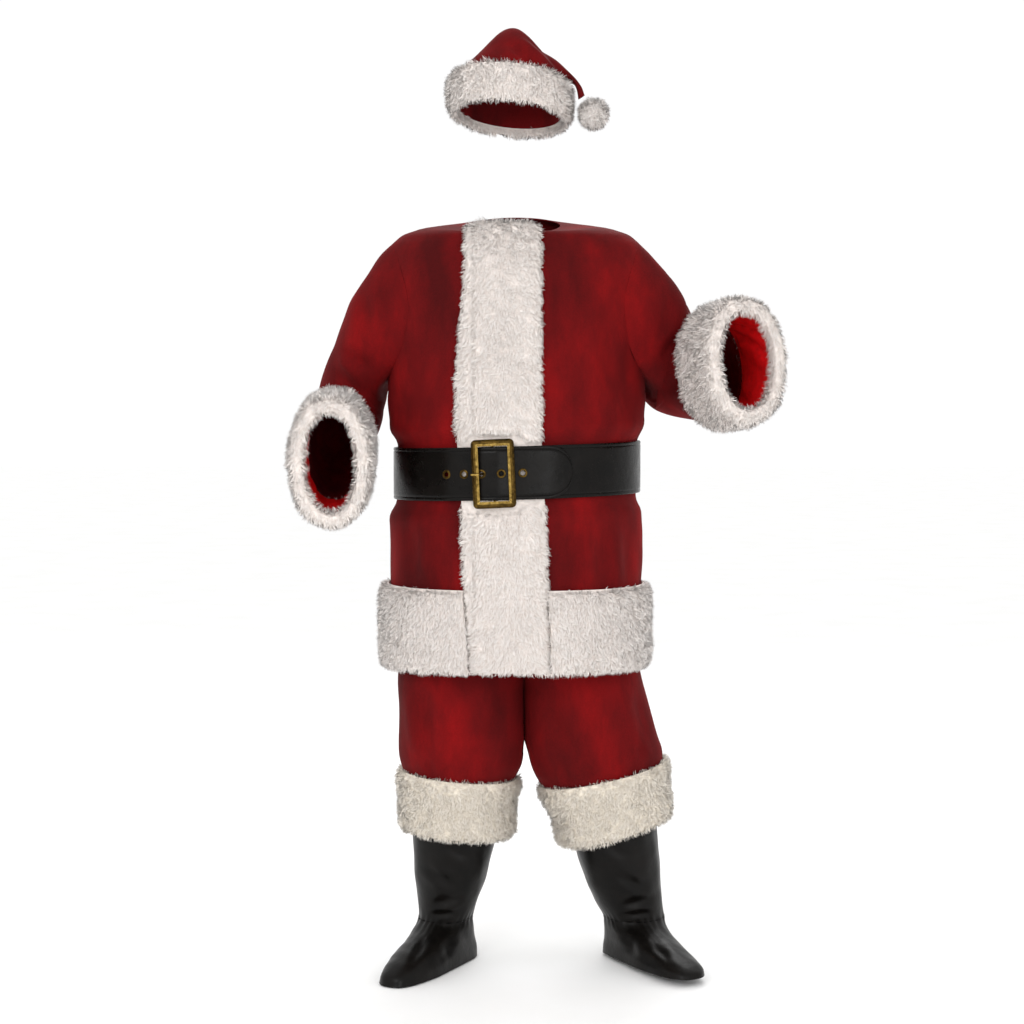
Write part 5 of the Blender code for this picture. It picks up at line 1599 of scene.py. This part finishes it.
class SUIT_OT_boot_tops(bpy.types.Operator):
    """Seams the vinyl boot tops: a shaft and a foot cover each, slack and creased at the ankle"""

    bl_idname = "suit.boot_tops"
    bl_label = "Boot tops"

    def execute(self, context):
        tables = (SHAFT_RIGHT, FOOT_RIGHT), (SHAFT_LEFT, FOOT_LEFT)
        for (side, word), (shaft, foot) in zip(SIDES, tables):
            self.tube("shaft", word, shaft, side, 80)
            self.tube("foot", word, foot, side, 60)
        return {"FINISHED"}

    def tube(self, name, word, table, side, rows):
        surface = ring_surface(table, side)
        top, bottom = table[0][0], table[-1][0]
        outwards = turned_out(surface, top, 1.0, tube_middle(surface, top))
        drops = np.linspace(top, bottom, rows)[:, None]
        around = full_turn(110)
        near = np.abs(drops - ANKLE_SEAM)
        puckers = 0.0011 * np.sin(around * 23 + 2 * np.sin(around * 5)) * np.exp(-near / 0.010)
        welt = 0.0010 * np.exp(-((near / 0.0022) ** 2))

        def slack(points):
            waves = soft_waves(points, 0.032, 0.0017)
            return waves + crease_relief(points, BOOT_CREASES) + puckers + welt

        cloth = relieved(surface, drops, around, outwards, slack, VINYL)
        node = f"boot_{name}_{word}"
        add_sheet(f"vinyl_{name}_{word}", cloth, "boot", "draped", node, closed=True)


class SUIT_OT_hat(bpy.types.Operator):
    """Folds the velvet cone over, bands it with plush and hangs the pom-pom on its tip"""

    bl_idname = "suit.hat"
    bl_label = "Hat"

    def execute(self, context):
        sizes = context.scene.suit_sizes
        self.crown(sizes)
        self.band(sizes)
        self.pompom(sizes)
        return {"FINISHED"}

    def crown(self, sizes):
        around = full_turn(110)
        ways = np.linspace(0.0, len(HAT_CROWN) - 1.0, 130)[:, None]
        outwards = turned_out(crown_surface, 1.0, 0.6, (-0.012, -0.02, 0.23))
        base = crown_surface(ways, around)
        free = smooth_step(0.4, 1.8, ways) * (1 - smooth_step(9.0, 11.0, ways))
        relief = soft_waves(base, 0.040, sizes.slack) + crease_relief(base, HAT_CREASES)
        outer, inner = layers(crown_surface, ways, around, relief * free, VELVET, outwards, 2e-3)
        # In the narrow tail the two sides of the cloth would meet, so the inner face draws in.
        centres = outer.mean(axis=1, keepdims=True)
        narrow = np.linalg.norm(outer - centres, axis=-1, keepdims=True) < 0.02
        inner = np.where(narrow, centres + (outer - centres) * 0.72, inner)
        cloth = outer, inner
        add_sheet("velvet_hat_crown", cloth, "velvet", "folded", "hat_crown", closed=True)

    def band(self, sizes):
        surface = ring_surface(HAT_BAND)
        outwards = turned_out(surface, -0.20, 1.0, (-0.012, -0.02, 0.22))
        share = sizes.skin_share
        outline = (
            (-0.234, 0.003),
            (-0.236, 0.012 * share),
            (-0.226, 0.021 * share),
            (-0.203, 0.0245 * share),
            (-0.180, 0.021 * share),
            (-0.168, 0.012 * share),
            (-0.169, 0.003),
            (-0.180, 0.0026),
            (-0.203, 0.0026),
            (-0.225, 0.0026),
        )
        add_fur_band(
            "plush_hat_band",
            "hat_band_fur",
            surface,
            0.0,
            outline,
            outwards,
            "white",
            bare_from=7.2,
            count=int(sizes.hairs * HAT_BAND_HAIRS),
            length=sizes.fur_length,
            lay=(0.0, 0.0, -0.30),
            seed=51,
        )

    def pompom(self, sizes):
        bpy.ops.object.select_all(action="DESELECT")
        radius = POMPOM_RADIUS - sizes.pompom_length * 0.85
        bpy.ops.mesh.primitive_ico_sphere_add(subdivisions=4, radius=radius, location=POMPOM_AT)
        ball = bpy.context.object
        ball.name = "plush_pompom"
        bpy.ops.object.transform_apply(location=True, rotation=True, scale=True)
        for point in ball.data.vertices:
            offset = point.co - Vector(POMPOM_AT)
            x, y, z = offset
            wave = math.sin(x * 260 + 1) * math.sin(z * 230) * math.sin(y * 250 + 2)
            point.co += offset.normalized() * 0.0012 * wave
        ball.data.materials.append(finish("acrylic_underpile_white"))
        pile = add_plush(
            ball,
            "hat_pompom",
            np.ones(len(ball.data.vertices), bool),
            "white",
            int(sizes.hairs * POMPOM_HAIRS),
            sizes.pompom_length,
            (0.0, 0.0, -0.15),
            52,
        )
        pile.parent = ball


def aimed(name, data, place, towards):
    """A light or a camera at a place, looking towards another place."""
    holder = bpy.data.objects.new(name, data)
    holder.location = place
    way = Vector(towards) - Vector(place)
    holder.rotation_euler = way.to_track_quat("-Z", "Y").to_euler()
    bpy.context.scene.collection.objects.link(holder)
    return holder


class SUIT_OT_stage(bpy.types.Operator):
    """Lays the pale floor, and sets the soft lights and the camera"""

    bl_idname = "suit.stage"
    bl_label = "Stage"

    def execute(self, context):
        scene = context.scene
        bpy.ops.object.select_all(action="DESELECT")
        bpy.ops.mesh.primitive_plane_add(size=FLOOR_SIZE, location=(0.0, 0.0, FLOOR_HEIGHT))
        floor = context.object
        floor.name = "floor"
        floor.data.materials.append(finish("rolled_paper_pale"))
        world = bpy.data.worlds.new("pale_room")
        world.use_nodes = True
        room = world.node_tree.nodes["Background"]
        room.inputs["Color"].default_value = (1.0, 1.0, 1.0, 1.0)
        room.inputs["Strength"].default_value = ROOM_LIGHT
        scene.world = world
        for name, place, size, power in SOFTBOXES:
            lamp = bpy.data.lights.new(name, "AREA")
            lamp.shape = "DISK"
            lamp.size = size
            lamp.energy = power
            aimed(name, lamp, place, SOFTBOXES_TOWARDS)
        lens = bpy.data.cameras.new("camera")
        lens.lens = CAMERA_LENS
        scene.camera = aimed("camera", lens, CAMERA_AT, CAMERA_TOWARDS)
        scene.view_settings.view_transform = "Standard"
        return {"FINISHED"}


OPERATORS = (
    SUIT_OT_jacket,
    SUIT_OT_sleeves,
    SUIT_OT_cuffs,
    SUIT_OT_front_and_hem_fur,
    SUIT_OT_trousers,
    SUIT_OT_belt,
    SUIT_OT_buckle,
    SUIT_OT_boot_tops,
    SUIT_OT_hat,
    SUIT_OT_stage,
)


class SUIT_PT_panel(bpy.types.Panel):
    """The suit's settings, and a button for each garment"""

    bl_label = "Santa suit"
    bl_idname = "SUIT_PT_panel"
    bl_space_type = "VIEW_3D"
    bl_region_type = "UI"
    bl_category = "Santa suit"

    def draw(self, context):
        for settings in (context.scene.suit_sizes, context.scene.suit_colours):
            box = self.layout.box()
            for name in type(settings).__annotations__:
                box.prop(settings, name)
        for operator in OPERATORS:
            self.layout.operator(operator.bl_idname)


CLASSES = (SuitSizes, SuitColours, *OPERATORS, SUIT_PT_panel)


def register():
    for each in CLASSES:
        bpy.utils.register_class(each)
    bpy.types.Scene.suit_sizes = bpy.props.PointerProperty(type=SuitSizes)
    bpy.types.Scene.suit_colours = bpy.props.PointerProperty(type=SuitColours)


def unregister():
    del bpy.types.Scene.suit_colours
    del bpy.types.Scene.suit_sizes
    for each in reversed(CLASSES):
        bpy.utils.unregister_class(each)


def main():
    register()
    for operator in OPERATORS:
        family, name = operator.bl_idname.split(".")
        getattr(getattr(bpy.ops, family), name)()


if __name__ == "__main__":
    main()
